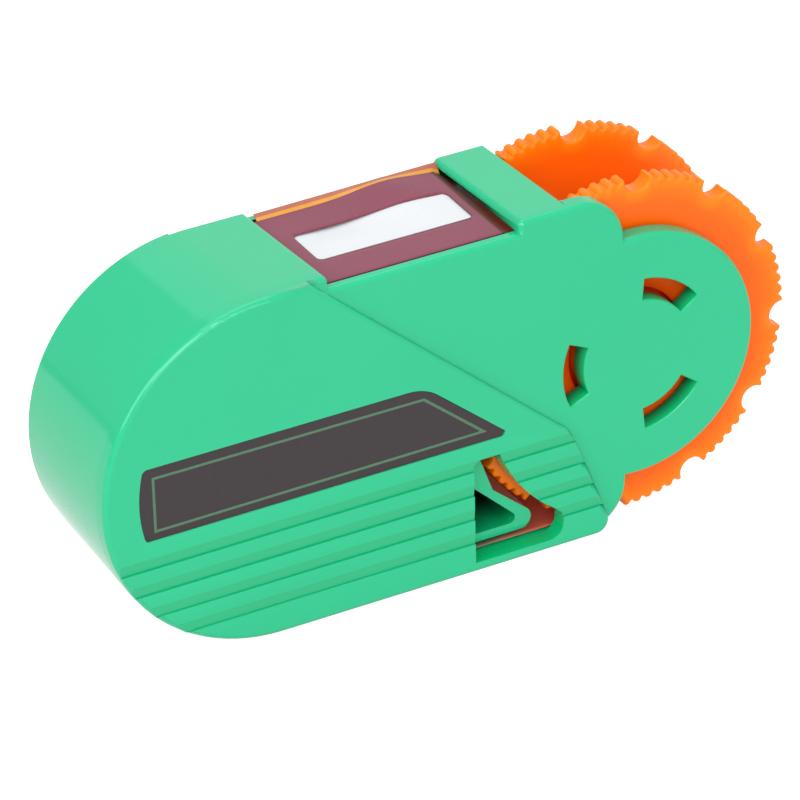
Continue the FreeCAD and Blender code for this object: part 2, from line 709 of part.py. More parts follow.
def shutter_film():
    """The amber film: slotted under the window, then round the round end and along the floor to the dial."""
    bend = (RIGHT[0], RIGHT[1], f"({FILM_LEVEL} - {ROLLER_Z})")
    inner_end = polar(bend, FALL)
    outer_end = polar(bend, FALL, f"{D}film_gauge")
    flap_x = f"{D}film_flap * sin({FALL})"
    flap_z = f"{D}film_flap * cos({FALL})"
    reach = f"({CLEAR_RADIUS} + {D}film_reach)"
    end_x = f"(-sqrt({reach} * {reach} - {FILM_LEVEL} * {FILM_LEVEL}))"
    front = f"({D}cover_plate + {D}film_margin)"
    body = strip("shutter_film", front, f"{REAR_WALL} - {D}film_margin - {front}", [
        (RIGHT[0], FILM_LEVEL, bend[2], 1), (ROUND_X, FILM_LEVEL), *round_end(FILM_LEVEL),
        (end_x, f"-{FILM_LEVEL}"), (end_x, f"-{FILM_HIGH}"), (ROUND_X, f"-{FILM_HIGH}"),
        (f"{ROUND_X} - {FILM_HIGH}", "0", FILM_HIGH, -1), (ROUND_X, FILM_HIGH, FILM_HIGH, -1),
        (RIGHT[0], FILM_HIGH), (*outer_end, f"{bend[2]} + {D}film_gauge", -1),
        (f"{outer_end[0]} + {flap_x}", f"{outer_end[1]} - {flap_z}"),
        (f"{inner_end[0]} + {flap_x}", f"{inner_end[1]} - {flap_z}"), inner_end])
    slot = new_sketch(body, "slot", f"{FILM_HIGH} + {D}wall", "XY_Plane")
    left = f"({D}film_slot_left_gap - {D}window_left)"
    right = f"(-{D}window_right - {D}film_slot_right_gap)"
    near = f"({CLOTH_FRONT} + {D}film_slot_front_gap)"
    far = f"({CLOTH_BACK} - {D}film_slot_back_gap)"
    corner = f"{D}film_slot_round"
    trace(slot, [
        (f"{right} - {corner}", near), (right, f"{near} + {corner}", corner, 1),
        (right, f"{far} - {corner}"), (f"{right} - {corner}", far, corner, 1),
        (f"{left} + {corner}", far), (left, f"{far} - {corner}", corner, 1),
        (left, f"{near} + {corner}"), (f"{left} + {corner}", near, corner, 1)])
    feature(body, "Pocket", slot, f"{D}film_gauge + 2 * {D}wall", False)


def rods(label, pieces):
    """Several alike turned pieces in one node; each is a chain of coaxial cylinders (x, z, front, back, radius)."""
    made = []
    for x, z, front, back, radius in pieces:
        rod = doc.addObject("Part::Cylinder", f"{label}_rod")
        rod.Placement = FreeCAD.Placement(Vector(), Rotation(Vector(1, 0, 0), -90))
        bind(rod, Radius=radius, Height=f"{back} - ({front})",
             Placement__Base__x=x, Placement__Base__y=front, Placement__Base__z=z)
        made.append(rod)
    piece = doc.addObject("Part::MultiFuse", label)
    piece.Shapes = made
    piece.Label = label
    place(piece)
    nodes[label] = piece


FRESH = (ROUND_X, "0", f"({FRESH_RADIUS} + {D}cloth_slack)")
USED = ("0", "0", f"({D}used_radius + {D}cloth_slack)")
LEFT = (ROLLER_X["left"], ROLLER_Z, f"({D}roller_radius + {D}cloth_slack)")
RIGHT = (ROLLER_X["right"], ROLLER_Z, f"({D}roller_radius + {D}cloth_slack)")
RISE = tangent(FRESH, LEFT)
FALL = tangent(RIGHT, USED)

front_cover()
rear_case()
LABEL_FRONT = f"({PANEL_FRONT} + {D}label_recess - {D}label_plate)"
label_body = strip("label_plate", LABEL_FRONT, f"{D}label_plate", label_outline(f"{D}joint_gap"))
round_label(label_body, f"{D}joint_gap", LABEL_FRONT, f"{LABEL_FRONT} + {D}label_plate")
thumb_wheel("front_thumb_wheel", WHEEL_FRONT)
thumb_wheel("rear_thumb_wheel", REAR_WHEEL)
tube("take_up_hub", "0", "0", f"{WHEEL_FRONT} + {D}hub_inset", f"{WHEEL_BACK} - {D}hub_inset",
     f"{D}hub_radius", f"{D}post_radius + {D}running_gap")
axle_cap()
tube("used_cloth_roll", "0", "0", CLOTH_FRONT, CLOTH_BACK, f"{D}used_radius", f"{D}hub_radius + {D}seat_gap")
tube("supply_core", ROUND_X, "0", f"{CLOTH_FRONT} - {D}core_overhang", CORE_BACK,
     f"{D}core_radius", f"{D}spindle_radius + {D}running_gap")
tube("cloth_roll", ROUND_X, "0", CLOTH_FRONT, CLOTH_BACK, FRESH_RADIUS, f"{D}core_radius + {D}seat_gap")
tube("felt_washer", ROUND_X, "0", f"{SPINDLE_SEAT} - {D}washer_gauge", SPINDLE_SEAT,
     f"{D}spindle_seat", f"{D}spindle_radius + {D}seat_gap")
cloth_web()
strip("pad_platen", f"{CLOTH_FRONT} - {D}platen_margin", f"{D}cloth_width + 2 * {D}platen_margin", [
    (PLATEN_LEFT, PLATEN_LOW), (PLATEN_RIGHT, PLATEN_LOW), (PLATEN_RIGHT, PAD_LOW), (PLATEN_LEFT, PAD_LOW)])
strip("cleaning_pad", f"{CLOTH_FRONT} - {D}pad_margin", f"{D}cloth_width + 2 * {D}pad_margin", [
    (f"{PLATEN_LEFT} + {D}pad_margin", PAD_LOW), (f"{PLATEN_RIGHT} - {D}pad_margin", PAD_LOW),
    (f"{PLATEN_RIGHT} - {D}pad_margin", CLOTH_LEVEL), (f"{PLATEN_LEFT} + {D}pad_margin", CLOTH_LEVEL)])
shutter_film()
for side in SIDES:
    tube(f"guide_roller_{side}", ROLLER_X[side], ROLLER_Z, f"{CLOTH_FRONT} - {D}roller_overhang",
         f"{CLOTH_BACK} + {D}roller_overhang", f"{D}roller_radius", f"{D}pin_radius + {D}running_gap / 2")
rods("roller_pins", [
    (ROLLER_X[side], ROLLER_Z, f"{CLOTH_FRONT} - {D}wall", REAR_WALL, f"{D}pin_radius") for side in SIDES])
HEAD_SEAT = f"({BACK} - {D}screw_seat)"
rods("case_screws", [
    (x, z, front, back, radius) for x, z in BOSSES for front, back, radius in (
        (f"{D}cover_plate + {D}screw_reach", HEAD_SEAT, f"{D}screw_shank"),
        (HEAD_SEAT, f"{BACK} - {D}root_depth", f"{D}screw_head"))])
doc.recompute()

os.makedirs("parts", exist_ok=True)
assert not any("Invalid" in item.State or "Error" in item.State for item in doc.Objects)
for label, node in nodes.items():
    assert node.Shape.isValid() and not node.Shape.isNull(), label
    node.Shape.exportStep(f"parts/{label}.step")
    print(label, round(node.Shape.Volume, 1), node.Shape.BoundBox)
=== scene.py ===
# %% [markdown]
# # A reel cleaner for optical connectors
#
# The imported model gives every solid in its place, in metres. This lesson dresses it: moulded green case
# halves, two orange thumb wheels, an amber film with a slot, white cloth, a dark label. Most new shapes are
# surfaces worked out as whole arrays: a function of two parameters on a grid, or a profile carried along a
# path.

# %% The frame
import math
import bmesh
import bpy
import numpy as np
from mathutils import Matrix


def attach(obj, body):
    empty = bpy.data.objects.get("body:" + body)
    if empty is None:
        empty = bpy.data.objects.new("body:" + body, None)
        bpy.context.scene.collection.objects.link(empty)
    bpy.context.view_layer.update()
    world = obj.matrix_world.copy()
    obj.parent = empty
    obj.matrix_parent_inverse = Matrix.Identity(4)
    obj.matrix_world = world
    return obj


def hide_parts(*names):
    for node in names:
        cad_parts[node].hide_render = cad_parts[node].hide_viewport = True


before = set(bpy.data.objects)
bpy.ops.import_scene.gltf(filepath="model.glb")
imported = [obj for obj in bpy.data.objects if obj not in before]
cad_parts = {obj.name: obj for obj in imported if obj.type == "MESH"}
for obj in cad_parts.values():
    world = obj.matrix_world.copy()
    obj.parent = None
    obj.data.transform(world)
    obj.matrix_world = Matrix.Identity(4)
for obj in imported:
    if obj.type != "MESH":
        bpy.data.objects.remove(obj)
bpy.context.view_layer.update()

scene = bpy.context.scene
print("solids in the frame:", len(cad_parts))

# %% [markdown]
# Sizes are easiest to read in millimetres from the dial's axis, on the front plane of the case's ear: x to
# the dial's side, y to the back, z up. One helper turns such points into the frame's metres, and one turns
# them back.

# %% Points
MM = 0.001
DIAL_AXIS = np.array([0.03215, -0.01345, 0.0293])


def at(x, y, z):
    """Points given in millimetres from the dial's axis, as metres in the frame."""
    return np.stack(np.broadcast_arrays(x, y, z), axis=-1) * MM + DIAL_AXIS


def from_dial(points):
    """Points of the frame in metres, as millimetres from the dial's axis."""
    return (points - DIAL_AXIS) / MM


def whole_turn(count):
    """Even angles of one full turn, in radians."""
    return np.linspace(0, 2 * np.pi, count, endpoint=False)


def smooth_step(value, low, high):
    """Rises from 0 to 1 between two limits with level ends."""
    t = np.clip((value - low) / (high - low), 0, 1)
    return t * t * (3 - 2 * t)


print("dial's axis, mm:", (DIAL_AXIS / MM).round(2))

# %% [markdown]
# A mesh can be made from a grid of points, closed where asked. Its faces are turned outwards by the sign of
# the volume that they enclose, so no shape has to care in which order its points run.

# %% Meshes
def grid_faces(rows, columns, close_rows=False, close_columns=False):
    """Quads between neighbouring points of a grid; a closed direction joins its last line to its first."""
    index = np.arange(rows * columns).reshape(rows, columns)
    if close_rows:
        index = np.vstack([index, index[:1]])
    if close_columns:
        index = np.hstack([index, index[:, :1]])
    corners = [index[:-1, :-1], index[1:, :-1], index[1:, 1:], index[:-1, 1:]]
    return np.stack(corners, axis=-1).reshape(-1, 4)


def outward(points, quads):
    """Quads turned so that the triple products of their triangles' corners add up to a positive volume."""
    corner = points[quads] - points.mean(axis=0)
    first = np.einsum("ij,ij->i", corner[:, 0], np.cross(corner[:, 1], corner[:, 2]))
    second = np.einsum("ij,ij->i", corner[:, 0], np.cross(corner[:, 2], corner[:, 3]))
    return quads[:, ::-1] if (first + second).sum() < 0 else quads


def new_piece(name, points, quads, material, smooth_below=None):
    """A mesh object from points and quads, smooth where neighbouring faces meet below an angle."""
    mesh = bpy.data.meshes.new(name)
    mesh.from_pydata(points.reshape(-1, 3), [], quads)
    mesh.update()
    mesh.materials.append(material)
    piece = bpy.data.objects.new(name, mesh)
    scene.collection.objects.link(piece)
    if smooth_below is not None:
        mesh.shade_smooth()
        mesh.set_sharp_from_angle(angle=math.radians(smooth_below))
    return piece


def closed_piece(name, grids, material, close_rows=True, smooth_below=40):
    """One mesh from equal grids whose columns run round, turned outwards; rows run round too where asked."""
    count, rows, columns = grids.shape[:3]
    quads = outward(grids[0].reshape(-1, 3), grid_faces(rows, columns, close_rows, close_columns=True))
    every = (quads[None] + np.arange(count)[:, None, None] * rows * columns).reshape(-1, 4)
    return new_piece(name, grids, every, material, smooth_below)


def close_ends(piece):
    """Fills the open end rings of a mesh with a face each, and turns every face outwards."""
    shell = bmesh.new()
    shell.from_mesh(piece.data)
    bmesh.ops.holes_fill(shell, edges=shell.edges)
    bmesh.ops.recalc_face_normals(shell, faces=shell.faces)
    shell.to_mesh(piece.data)
    shell.free()
    return piece


def store(piece, name, values):
    """Keeps one number per point on the mesh, for its finish to read."""
    layer = piece.data.attributes.new(name, "FLOAT", "POINT")
    layer.data.foreach_set("value", np.asarray(values, np.float32))


def give_gauge(piece, thickness):
    """Gives a sheet its thickness in millimetres, half to each side."""
    gauge = piece.modifiers.new("gauge", "SOLIDIFY")
    gauge.thickness = thickness * MM
    gauge.offset = 0.0


def settle(piece, body, slot, *nodes):
    """Lets a piece ride on a body and stand for solids of the frame; slot is not used."""
    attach(piece, body)
    if nodes:
        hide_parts(*nodes)
    print(piece.name, "rides on", body, "with", len(piece.data.polygons), "faces")
    return piece


print("meshes before the first new piece:", len(bpy.data.meshes))

# %% [markdown]
# ## Finishes
#
# A finish is a net of nodes. A few helpers keep the net readable: each makes one node, joins its inputs to
# sockets or plain values, and hands back the output that the next node needs.

# %% Node helpers
NOISE_SPAN = (0.3, 0.7)


def link(tree, source, target):
    """Joins an output socket to an input socket; a plain number or colour is set on the input itself."""
    if isinstance(source, bpy.types.NodeSocket):
        tree.links.new(source, target)
    elif isinstance(source, tuple):
        target.default_value = (*source, 1.0)
    else:
        target.default_value = source


def new_node(tree, kind, **inputs):
    """A shader node with its named inputs joined or set."""
    node = tree.nodes.new(f"ShaderNode{kind}")
    for label, value in inputs.items():
        link(tree, value, node.inputs[label.replace("_", " ")])
    return node


def noise(tree, vector, scale, detail=2.0, rough=0.5):
    """A noise texture at a scale per metre, reading the given coordinates."""
    node = new_node(tree, "TexNoise", Scale=scale, Detail=detail, Roughness=rough, Vector=vector)
    return node.outputs["Fac"]


def spread(tree, value, low, high, to_low=0.0, to_high=1.0):
    """Maps a value from one range to another, held at the ends."""
    node = new_node(tree, "MapRange", From_Min=low, From_Max=high, To_Min=to_low, To_Max=to_high, Value=value)
    return node.outputs["Result"]


def blend(tree, factor, first, second):
    """Mixes two colours, each a socket or a plain colour, by a factor."""
    node = tree.nodes.new("ShaderNodeMix")
    node.data_type = "RGBA"
    link(tree, factor, node.inputs["Factor"])
    link(tree, first, node.inputs[6])
    link(tree, second, node.inputs[7])
    return node.outputs[2]


def reckon(tree, operation, first, second=0.0):
    """A sum, product or other operation on two values, each a socket or a plain number."""
    node = tree.nodes.new("ShaderNodeMath")
    node.operation = operation
    link(tree, first, node.inputs[0])
    link(tree, second, node.inputs[1])
    return node.outputs[0]


def along_axis(tree, points, axis):
    """One of the three coordinates of the points."""
    return new_node(tree, "SeparateXYZ", Vector=points).outputs[axis]


def object_points(tree):
    """The piece's own coordinates, which are the frame's metres."""
    return tree.nodes.new("ShaderNodeTexCoord").outputs["Object"]


def stored(tree, name):
    """A number that the mesh keeps for each point."""
    node = tree.nodes.new("ShaderNodeAttribute")
    node.attribute_name = name
    return node.outputs["Fac"]


def new_material(name, **constants):
    """A material with one Principled shader whose constant sockets are set directly."""
    material = bpy.data.materials.new(name)
    material.use_nodes = True
    tree = material.node_tree
    shader = tree.nodes["Principled BSDF"]
    for label, value in constants.items():
        shader.inputs[label.replace("_", " ")].default_value = value
    return material, tree, shader


def dress(tree, shader, color, roughness, height=None, bump=(0.0, 0.0)):
    """Joins colour and roughness to the shader, and a height as a slight change of the normal."""
    link(tree, color, shader.inputs["Base Color"])
    link(tree, roughness, shader.inputs["Roughness"])
    if height is not None:
        node = new_node(tree, "Bump", Strength=bump[0], Distance=bump[1], Height=height)
        link(tree, node.outputs["Normal"], shader.inputs["Normal"])


print("most of a noise lies between", NOISE_SPAN)

# %% [markdown]
# Glossy moulded plastic isn't one flat colour. Its tone drifts a little where the melt flowed, the gloss is
# broken by a very fine haze, and a few specks of dust lie on it. Green and orange plastic both need this,
# so it is one node group with named sockets. It reads Object coordinates, so the pattern stays put on the
# piece.

# %% A group for moulded plastic
DRIFT_SCALE = 38.0
WIDE_SCALE = 60.0
WIDE = 0.02
HAZE_SCALE = 900.0
HAZE = 0.015
GRAIN_SCALE = 2600.0
DUST_SCALE = 230.0
DUST_SIZE = (0.015, 0.035)
DUST_TONE = (0.8, 0.85, 0.8)
DUST_ROUGH = 0.3
PATCH_SCALE = 47.0
PATCH_CHANCE = (0.68, 0.72)


def new_group(name, inputs):
    """An empty shader group that gives colour, roughness and height; inputs are (name, type, default)."""
    group = bpy.data.node_groups.new(name, "ShaderNodeTree")
    for label, kind, default in inputs:
        socket = group.interface.new_socket(label, in_out="INPUT", socket_type=f"NodeSocket{kind}")
        if default is not None:
            socket.default_value = default
    for label, kind in (("Color", "Color"), ("Roughness", "Float"), ("Height", "Float")):
        group.interface.new_socket(label, in_out="OUTPUT", socket_type=f"NodeSocket{kind}")
    return group, group.nodes.new("NodeGroupInput").outputs, group.nodes.new("NodeGroupOutput").inputs


def place_group(tree, group, **values):
    """A group node with its inputs set to plain values or joined to sockets; gives its three outputs."""
    node = tree.nodes.new("ShaderNodeGroup")
    node.node_tree = group
    for label, value in values.items():
        link(tree, value, node.inputs[label.replace("_", " ")])
    return node.outputs["Color"], node.outputs["Roughness"], node.outputs["Height"]


def moulded_group():
    """Tone drift from a wide noise, gloss haze from a fine one, and sparse specks from a cell distance."""
    group, entry, leave = new_group("moulded_plastic", [
        ("Vector", "Vector", None), ("Tone", "Color", (0.5, 0.5, 0.5, 1.0)),
        ("Deep Tone", "Color", (0.4, 0.4, 0.4, 1.0)), ("Gloss", "Float", 0.2), ("Speck", "Float", 0.5)])
    vector = entry["Vector"]
    drift = spread(group, noise(group, vector, DRIFT_SCALE, 3.0), *NOISE_SPAN)
    tone = blend(group, drift, entry["Deep Tone"], entry["Tone"])
    cells = new_node(group, "TexVoronoi", Scale=DUST_SCALE, Vector=vector)
    chance = spread(group, noise(group, vector, PATCH_SCALE, 1.0), *PATCH_CHANCE)
    dot = spread(group, cells.outputs["Distance"], *DUST_SIZE, 1.0, 0.0)
    dust = reckon(group, "MULTIPLY", reckon(group, "MULTIPLY", dot, chance), entry["Speck"])
    link(group, blend(group, dust, tone, DUST_TONE), leave["Color"])
    haze = spread(group, noise(group, vector, HAZE_SCALE, 3.0), *NOISE_SPAN, -HAZE, HAZE)
    wide = spread(group, noise(group, vector, WIDE_SCALE, 2.0), *NOISE_SPAN, -WIDE, WIDE)
    gloss = reckon(group, "ADD", entry["Gloss"], reckon(group, "ADD", haze, wide))
    rough = reckon(group, "ADD", gloss, reckon(group, "MULTIPLY", dust, DUST_ROUGH))
    link(group, rough, leave["Roughness"])
    link(group, noise(group, vector, GRAIN_SCALE, 2.0), leave["Height"])
    return group


MOULDED = moulded_group()
print("made the group", MOULDED.name)

# %% [markdown]
# The case's green is bright outside. On its inner walls shade is painted: their green darkens with the
# depth behind the mouth, as the open studio light here leaves them too bright.

# %% Green and dark plastics
PLASTIC_BUMP = (0.006, 0.00001)
GREEN_TONE = (0.008, 0.408, 0.19)
GREEN_DEEP = (0.007, 0.398, 0.185)
GREEN_MOUTH = (0.003, 0.44, 0.155)
GREEN_PAINTED_SHADE = (0.002, 0.05, 0.018)


def moulded(name, tone, deep, gloss, speck, **constants):
    """Glossy moulded plastic of one tone."""
    material, tree, shader = new_material(name, **constants)
    finish = place_group(tree, MOULDED, Vector=object_points(tree), Tone=tone, Deep_Tone=deep, Gloss=gloss,
                         Speck=speck)
    dress(tree, shader, *finish, bump=PLASTIC_BUMP)
    return material


def green_with_painted_shade(name, mouth, reach, gloss, **constants):
    """The green of inner walls, with painted shade: darker with the depth behind the mouth, both in
    millimetres.
    """
    material, tree, shader = new_material(name, **constants)
    points = object_points(tree)
    begin = DIAL_AXIS[1] + mouth * MM
    depth = spread(tree, along_axis(tree, points, "Y"), begin, begin + reach * MM)
    tone = blend(tree, depth, GREEN_MOUTH, GREEN_PAINTED_SHADE)
    finish = place_group(tree, MOULDED, Vector=points, Tone=tone, Deep_Tone=tone, Gloss=gloss, Speck=0.0)
    dress(tree, shader, *finish[:2])
    return material


GREEN = moulded("green_plastic", GREEN_TONE, GREEN_DEEP, 0.1, 0.12)
# Slot walls and the case's inner walls take this painted shade.
SLOT_WALL_PAINTED_SHADE = green_with_painted_shade("green_slot_wall_painted_shade", 0.7, 3.0, 0.3, Specular_IOR_Level=0.1)
CASE_INSIDE_PAINTED_SHADE = green_with_painted_shade("green_case_inside_painted_shade", 1.6, 9.0, 0.25, Specular_IOR_Level=0.2)
# The nose's upper face is green plastic painted orange red: a painted reflection of the wheel above it.
NOSE_PAINTED_REFLECTION = moulded("green_painted_wheel_reflection", (0.42, 0.07, 0.022), (0.36, 0.06, 0.018), 0.4, 0.0,
                   Specular_IOR_Level=0.1)
# The grooves' ramps take a darker green: painted shade on faces turned slightly downwards.
GROOVE_PAINTED_SHADE = moulded("green_groove_painted_shade", (0.005, 0.37, 0.16), (0.005, 0.36, 0.156), 0.16, 0.12)
CAP = moulded("cap_plastic", (0.05, 0.055, 0.06), (0.04, 0.044, 0.05), 0.35, 0.3)
CORE = moulded("core_plastic", (0.5, 0.5, 0.48), (0.46, 0.46, 0.45), 0.4, 0.2)
INNER = moulded("inner_plastic", (0.045, 0.047, 0.05), (0.035, 0.037, 0.04), 0.42, 0.2)
print("plastics:", [m.name for m in (GREEN, SLOT_WALL_PAINTED_SHADE, CASE_INSIDE_PAINTED_SHADE, NOSE_PAINTED_REFLECTION, GROOVE_PAINTED_SHADE, CAP, CORE, INNER)])

# %% [markdown]
# The wheels' orange plastic lets some light through, so its thin edges look yellower than its faces; that
# glow is painted into the rim's tone. The hub is painted a darker red, as painted shade. The wheel's mesh
# carries an attribute that is nearly 1 on the rim, 0 on the faces and below 0 at the hub, and the tone
# follows it.

# %% Orange plastic
ORANGE_FACE = (0.9, 0.113, 0.002)
ORANGE_HUB_PAINTED_SHADE = (0.55, 0.02, 0.001)
ORANGE_RIM_PAINTED_GLOW = (0.9, 0.19, 0.002)
ORANGE_RIM_DEEP_PAINTED_GLOW = (0.88, 0.18, 0.002)


def orange_plastic():
    """Moulded plastic: painted shade in red at the hub, orange on the faces, a painted yellow glow along the
    rim.
    """
    material, tree, shader = new_material("orange_plastic", Specular_IOR_Level=0.2)
    glow = stored(tree, "rim")
    face = blend(tree, spread(tree, glow, -1.0, 0.0, 1.0, 0.0), ORANGE_FACE, ORANGE_HUB_PAINTED_SHADE)
    finish = place_group(tree, MOULDED, Vector=object_points(tree), Gloss=0.25, Speck=0.05,
                         Tone=blend(tree, glow, face, ORANGE_RIM_PAINTED_GLOW),
                         Deep_Tone=blend(tree, glow, face, ORANGE_RIM_DEEP_PAINTED_GLOW))
    dress(tree, shader, *finish, bump=PLASTIC_BUMP)
    return material


ORANGE = orange_plastic()
print("made", ORANGE.name)

# %% [markdown]
# The cloth is a fine, flat weave, so its threads show only as a soft grain. The weave follows the strip, so
# it reads the piece's UV map, which is laid out in metres: two waves across each other give threads over
# and under. Felt is a loose version of the same thing, read from Object coordinates because it has no
# straight threads.

# %% Cloth and felt
FIBRE_SCALE = 2400.0
FIBRE_SHARE = 0.8
WOVEN_BUMP = (0.2, 0.00006)
CLOTH_THREADS = 9000.0
FELT_THREADS = 2600.0


def woven_group():
    """Threads over and under: the product of two crossed sine waves, plus a noise of loose fibres."""
    group, entry, leave = new_group("fine_weave", [
        ("Vector", "Vector", None), ("Threads", "Float", 4000.0),
        ("Tone", "Color", (0.9, 0.9, 0.9, 1.0)), ("Shade", "Color", (0.75, 0.75, 0.78, 1.0))])
    vector = entry["Vector"]
    turns = [reckon(group, "MULTIPLY", along_axis(group, vector, axis), entry["Threads"]) for axis in "XY"]
    across, along = (reckon(group, "SINE", turn) for turn in turns)
    weave = spread(group, reckon(group, "MULTIPLY", across, along), -1.0, 1.0)
    fuzz = noise(group, vector, FIBRE_SCALE, 4.0, 0.7)
    height = reckon(group, "ADD", weave, reckon(group, "MULTIPLY", fuzz, FIBRE_SHARE))
    link(group, blend(group, spread(group, height, 0.2, 1.3), entry["Shade"], entry["Tone"]), leave["Color"])
    link(group, spread(group, fuzz, 0.2, 0.8, 0.8, 0.98), leave["Roughness"])
    link(group, height, leave["Height"])
    return group


WOVEN = woven_group()


def woven(name, tone, shade, threads, follows_strip=True):
    """White cloth or felt with a sheen of fine fibres."""
    material, tree, shader = new_material(name, Sheen_Weight=0.08, Sheen_Roughness=0.5)
    points = object_points(tree)
    if follows_strip:
        points = tree.nodes.new("ShaderNodeUVMap").outputs["UV"]
    finish = place_group(tree, WOVEN, Vector=points, Threads=threads, Tone=tone, Shade=shade)
    dress(tree, shader, *finish, bump=WOVEN_BUMP)
    return material


CLOTH = woven("white_cloth", (0.575, 0.597, 0.615), (0.545, 0.566, 0.583), CLOTH_THREADS)
WOUND = woven("wound_cloth", (0.68, 0.69, 0.7), (0.5, 0.5, 0.52), CLOTH_THREADS, follows_strip=False)
FELT = woven("grey_felt", (0.36, 0.36, 0.37), (0.2, 0.2, 0.21), FELT_THREADS, follows_strip=False)
print("woven:", [m.name for m in (CLOTH, WOUND, FELT)])

# %% [markdown]
# The film is one clear amber plastic, but its look depends on what lies behind it: cloth, shade, or the
# case's floor. So each stretch of it gets a painted tone of its own, streaked a little: painted shade on the
# flap, painted light on the floor run, and a bright painted light on the margin that light passes through.

# %% Film
STREAK_SCALE = 140.0
STREAK_BUMP = (0.04, 0.0002)
STREAK_ROUGH = 0.1
FLOOR_FADE = (-26.0, -16.0)
MARGIN_STREAK = 260.0
MARGIN_FOLD = ((0.5, 0.21, 0.032), (0.6, 0.28, 0.045))
MARGIN_EDGE = ((0.32, 0.1, 0.06), (0.4, 0.13, 0.085))
MARGIN_CHANGE = (0.44, 0.5)


def amber_film(name, deep, light, gloss, far=None, **constants):
    """Amber, streaked a little by a noise; a far tone, where given, takes over towards the left."""
    material, tree, shader = new_material(name, **constants)
    points = object_points(tree)
    streak = noise(tree, points, STREAK_SCALE, 3.0)
    tone = blend(tree, spread(tree, streak, *NOISE_SPAN), deep, light)
    if far:
        begin, end = (DIAL_AXIS[0] + place * MM for place in FLOOR_FADE)
        tone = blend(tree, spread(tree, along_axis(tree, points, "X"), begin, end), far, tone)
    rough = spread(tree, streak, *NOISE_SPAN, gloss, gloss + STREAK_ROUGH)
    dress(tree, shader, tone, rough, streak, STREAK_BUMP)
    return material


def lit_margin():
    """The film's upturned margin, lit through from behind: yellow at the fold, orange brown at the edge."""
    material, tree, shader = new_material("film_margin", Specular_IOR_Level=0.3)
    streak = noise(tree, object_points(tree), MARGIN_STREAK, 3.0)
    fold, edge = blend(tree, streak, *MARGIN_FOLD), blend(tree, streak, *MARGIN_EDGE)
    tone = blend(tree, spread(tree, stored(tree, "margin"), *MARGIN_CHANGE), fold, edge)
    dress(tree, shader, tone, spread(tree, streak, *NOISE_SPAN, 0.18, 0.3))
    return material


FILM = amber_film("amber_film", (0.178, 0.036, 0.064), (0.196, 0.041, 0.072), 0.24, Specular_IOR_Level=0.3)
# The flap under the bridge takes painted shade; the floor run takes painted light, darker and greyer towards
# the left.
FILM_PAINTED_SHADE = amber_film("film_flap_painted_shade", (0.09, 0.034, 0.028), (0.108, 0.041, 0.034), 0.45,
                         Specular_IOR_Level=0.15)
FLOOR_FILM_PAINTED_LIGHT = amber_film("film_on_floor_painted_light", (0.5, 0.09, 0.06), (0.56, 0.105, 0.07), 0.14,
                        far=(0.17, 0.16, 0.085), Specular_IOR_Level=0.6)
MARGIN = lit_margin()
print("film:", [m.name for m in (FILM, FILM_PAINTED_SHADE, FLOOR_FILM_PAINTED_LIGHT, MARGIN)])

# %% [markdown]
# The label's ink has a fine speckle and a slightly uneven gloss. Turned steel shows fine lines round its
# axis: a noise squeezed along one direction.

# %% Label and steel
INK_SCALE = 3200.0
INK_BUMP = (0.1, 0.00002)
SATIN_SCALE = 220.0
TURNING_SCALE = (900.0, 9000.0, 900.0)


def printed_label(name, tone, deep):
    """A satin printed plate: fine speckle in the ink and a slightly uneven gloss."""
    material, tree, shader = new_material(name)
    points = object_points(tree)
    ink = spread(tree, noise(tree, points, INK_SCALE, 3.0), 0.35, 0.65)
    satin = spread(tree, noise(tree, points, SATIN_SCALE, 3.0), *NOISE_SPAN, 0.34, 0.48)
    dress(tree, shader, blend(tree, ink, deep, tone), satin, ink, INK_BUMP)
    return material


def turned_steel():
    """Bright steel with fine turning lines, from a noise squeezed along one axis."""
    material, tree, shader = new_material("turned_steel", Metallic=1.0)
    squeeze = new_node(tree, "Mapping", Vector=object_points(tree))
    squeeze.inputs["Scale"].default_value = TURNING_SCALE
    lines = noise(tree, squeeze.outputs["Vector"], 1.0, 3.0)
    tone = blend(tree, lines, (0.5, 0.5, 0.51), (0.66, 0.66, 0.66))
    dress(tree, shader, tone, spread(tree, lines, *NOISE_SPAN, 0.22, 0.4))
    return material


LABEL = printed_label("dark_label", (0.022, 0.012, 0.016), (0.016, 0.009, 0.011))
BORDER = printed_label("label_line", (0.055, 0.14, 0.075), (0.045, 0.12, 0.063))
STEEL = turned_steel()
print("label and steel:", [m.name for m in (LABEL, BORDER, STEEL)])

# %% [markdown]
# ## Case halves
#
# The case is two glossy mouldings, and their shape is right in the solids. A solid arrives as loose flat
# triangles, which a glossy finish would show. A merged copy with its flat faces joined can be smoothed, and
# a very fine bevel lets a moulded edge catch the light; weighted normals keep the flat faces flat.

# %% Merged copies of the mouldings
SAME_POINT = 2e-6
FLAT_WITHIN = 0.4
SHARP_ABOVE = 28.0
RAMP_ABOVE = 21.0
RAMP_LONG = 3.0
BEVEL_ROOM = 3.0


def merged_copy(node):
    """A mesh from one solid's triangles: equal points merged, flat neighbours joined, all shaded smooth."""
    shell = bmesh.new()
    shell.from_mesh(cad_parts[node].data)
    bmesh.ops.remove_doubles(shell, verts=shell.verts, dist=SAME_POINT)
    bmesh.ops.dissolve_limit(shell, angle_limit=math.radians(FLAT_WITHIN), verts=shell.verts,
                             edges=shell.edges, delimit=set())
    mesh = bpy.data.meshes.new(f"{node}_moulding")
    shell.to_mesh(mesh)
    shell.free()
    mesh.materials.clear()
    mesh.shade_smooth()
    return mesh


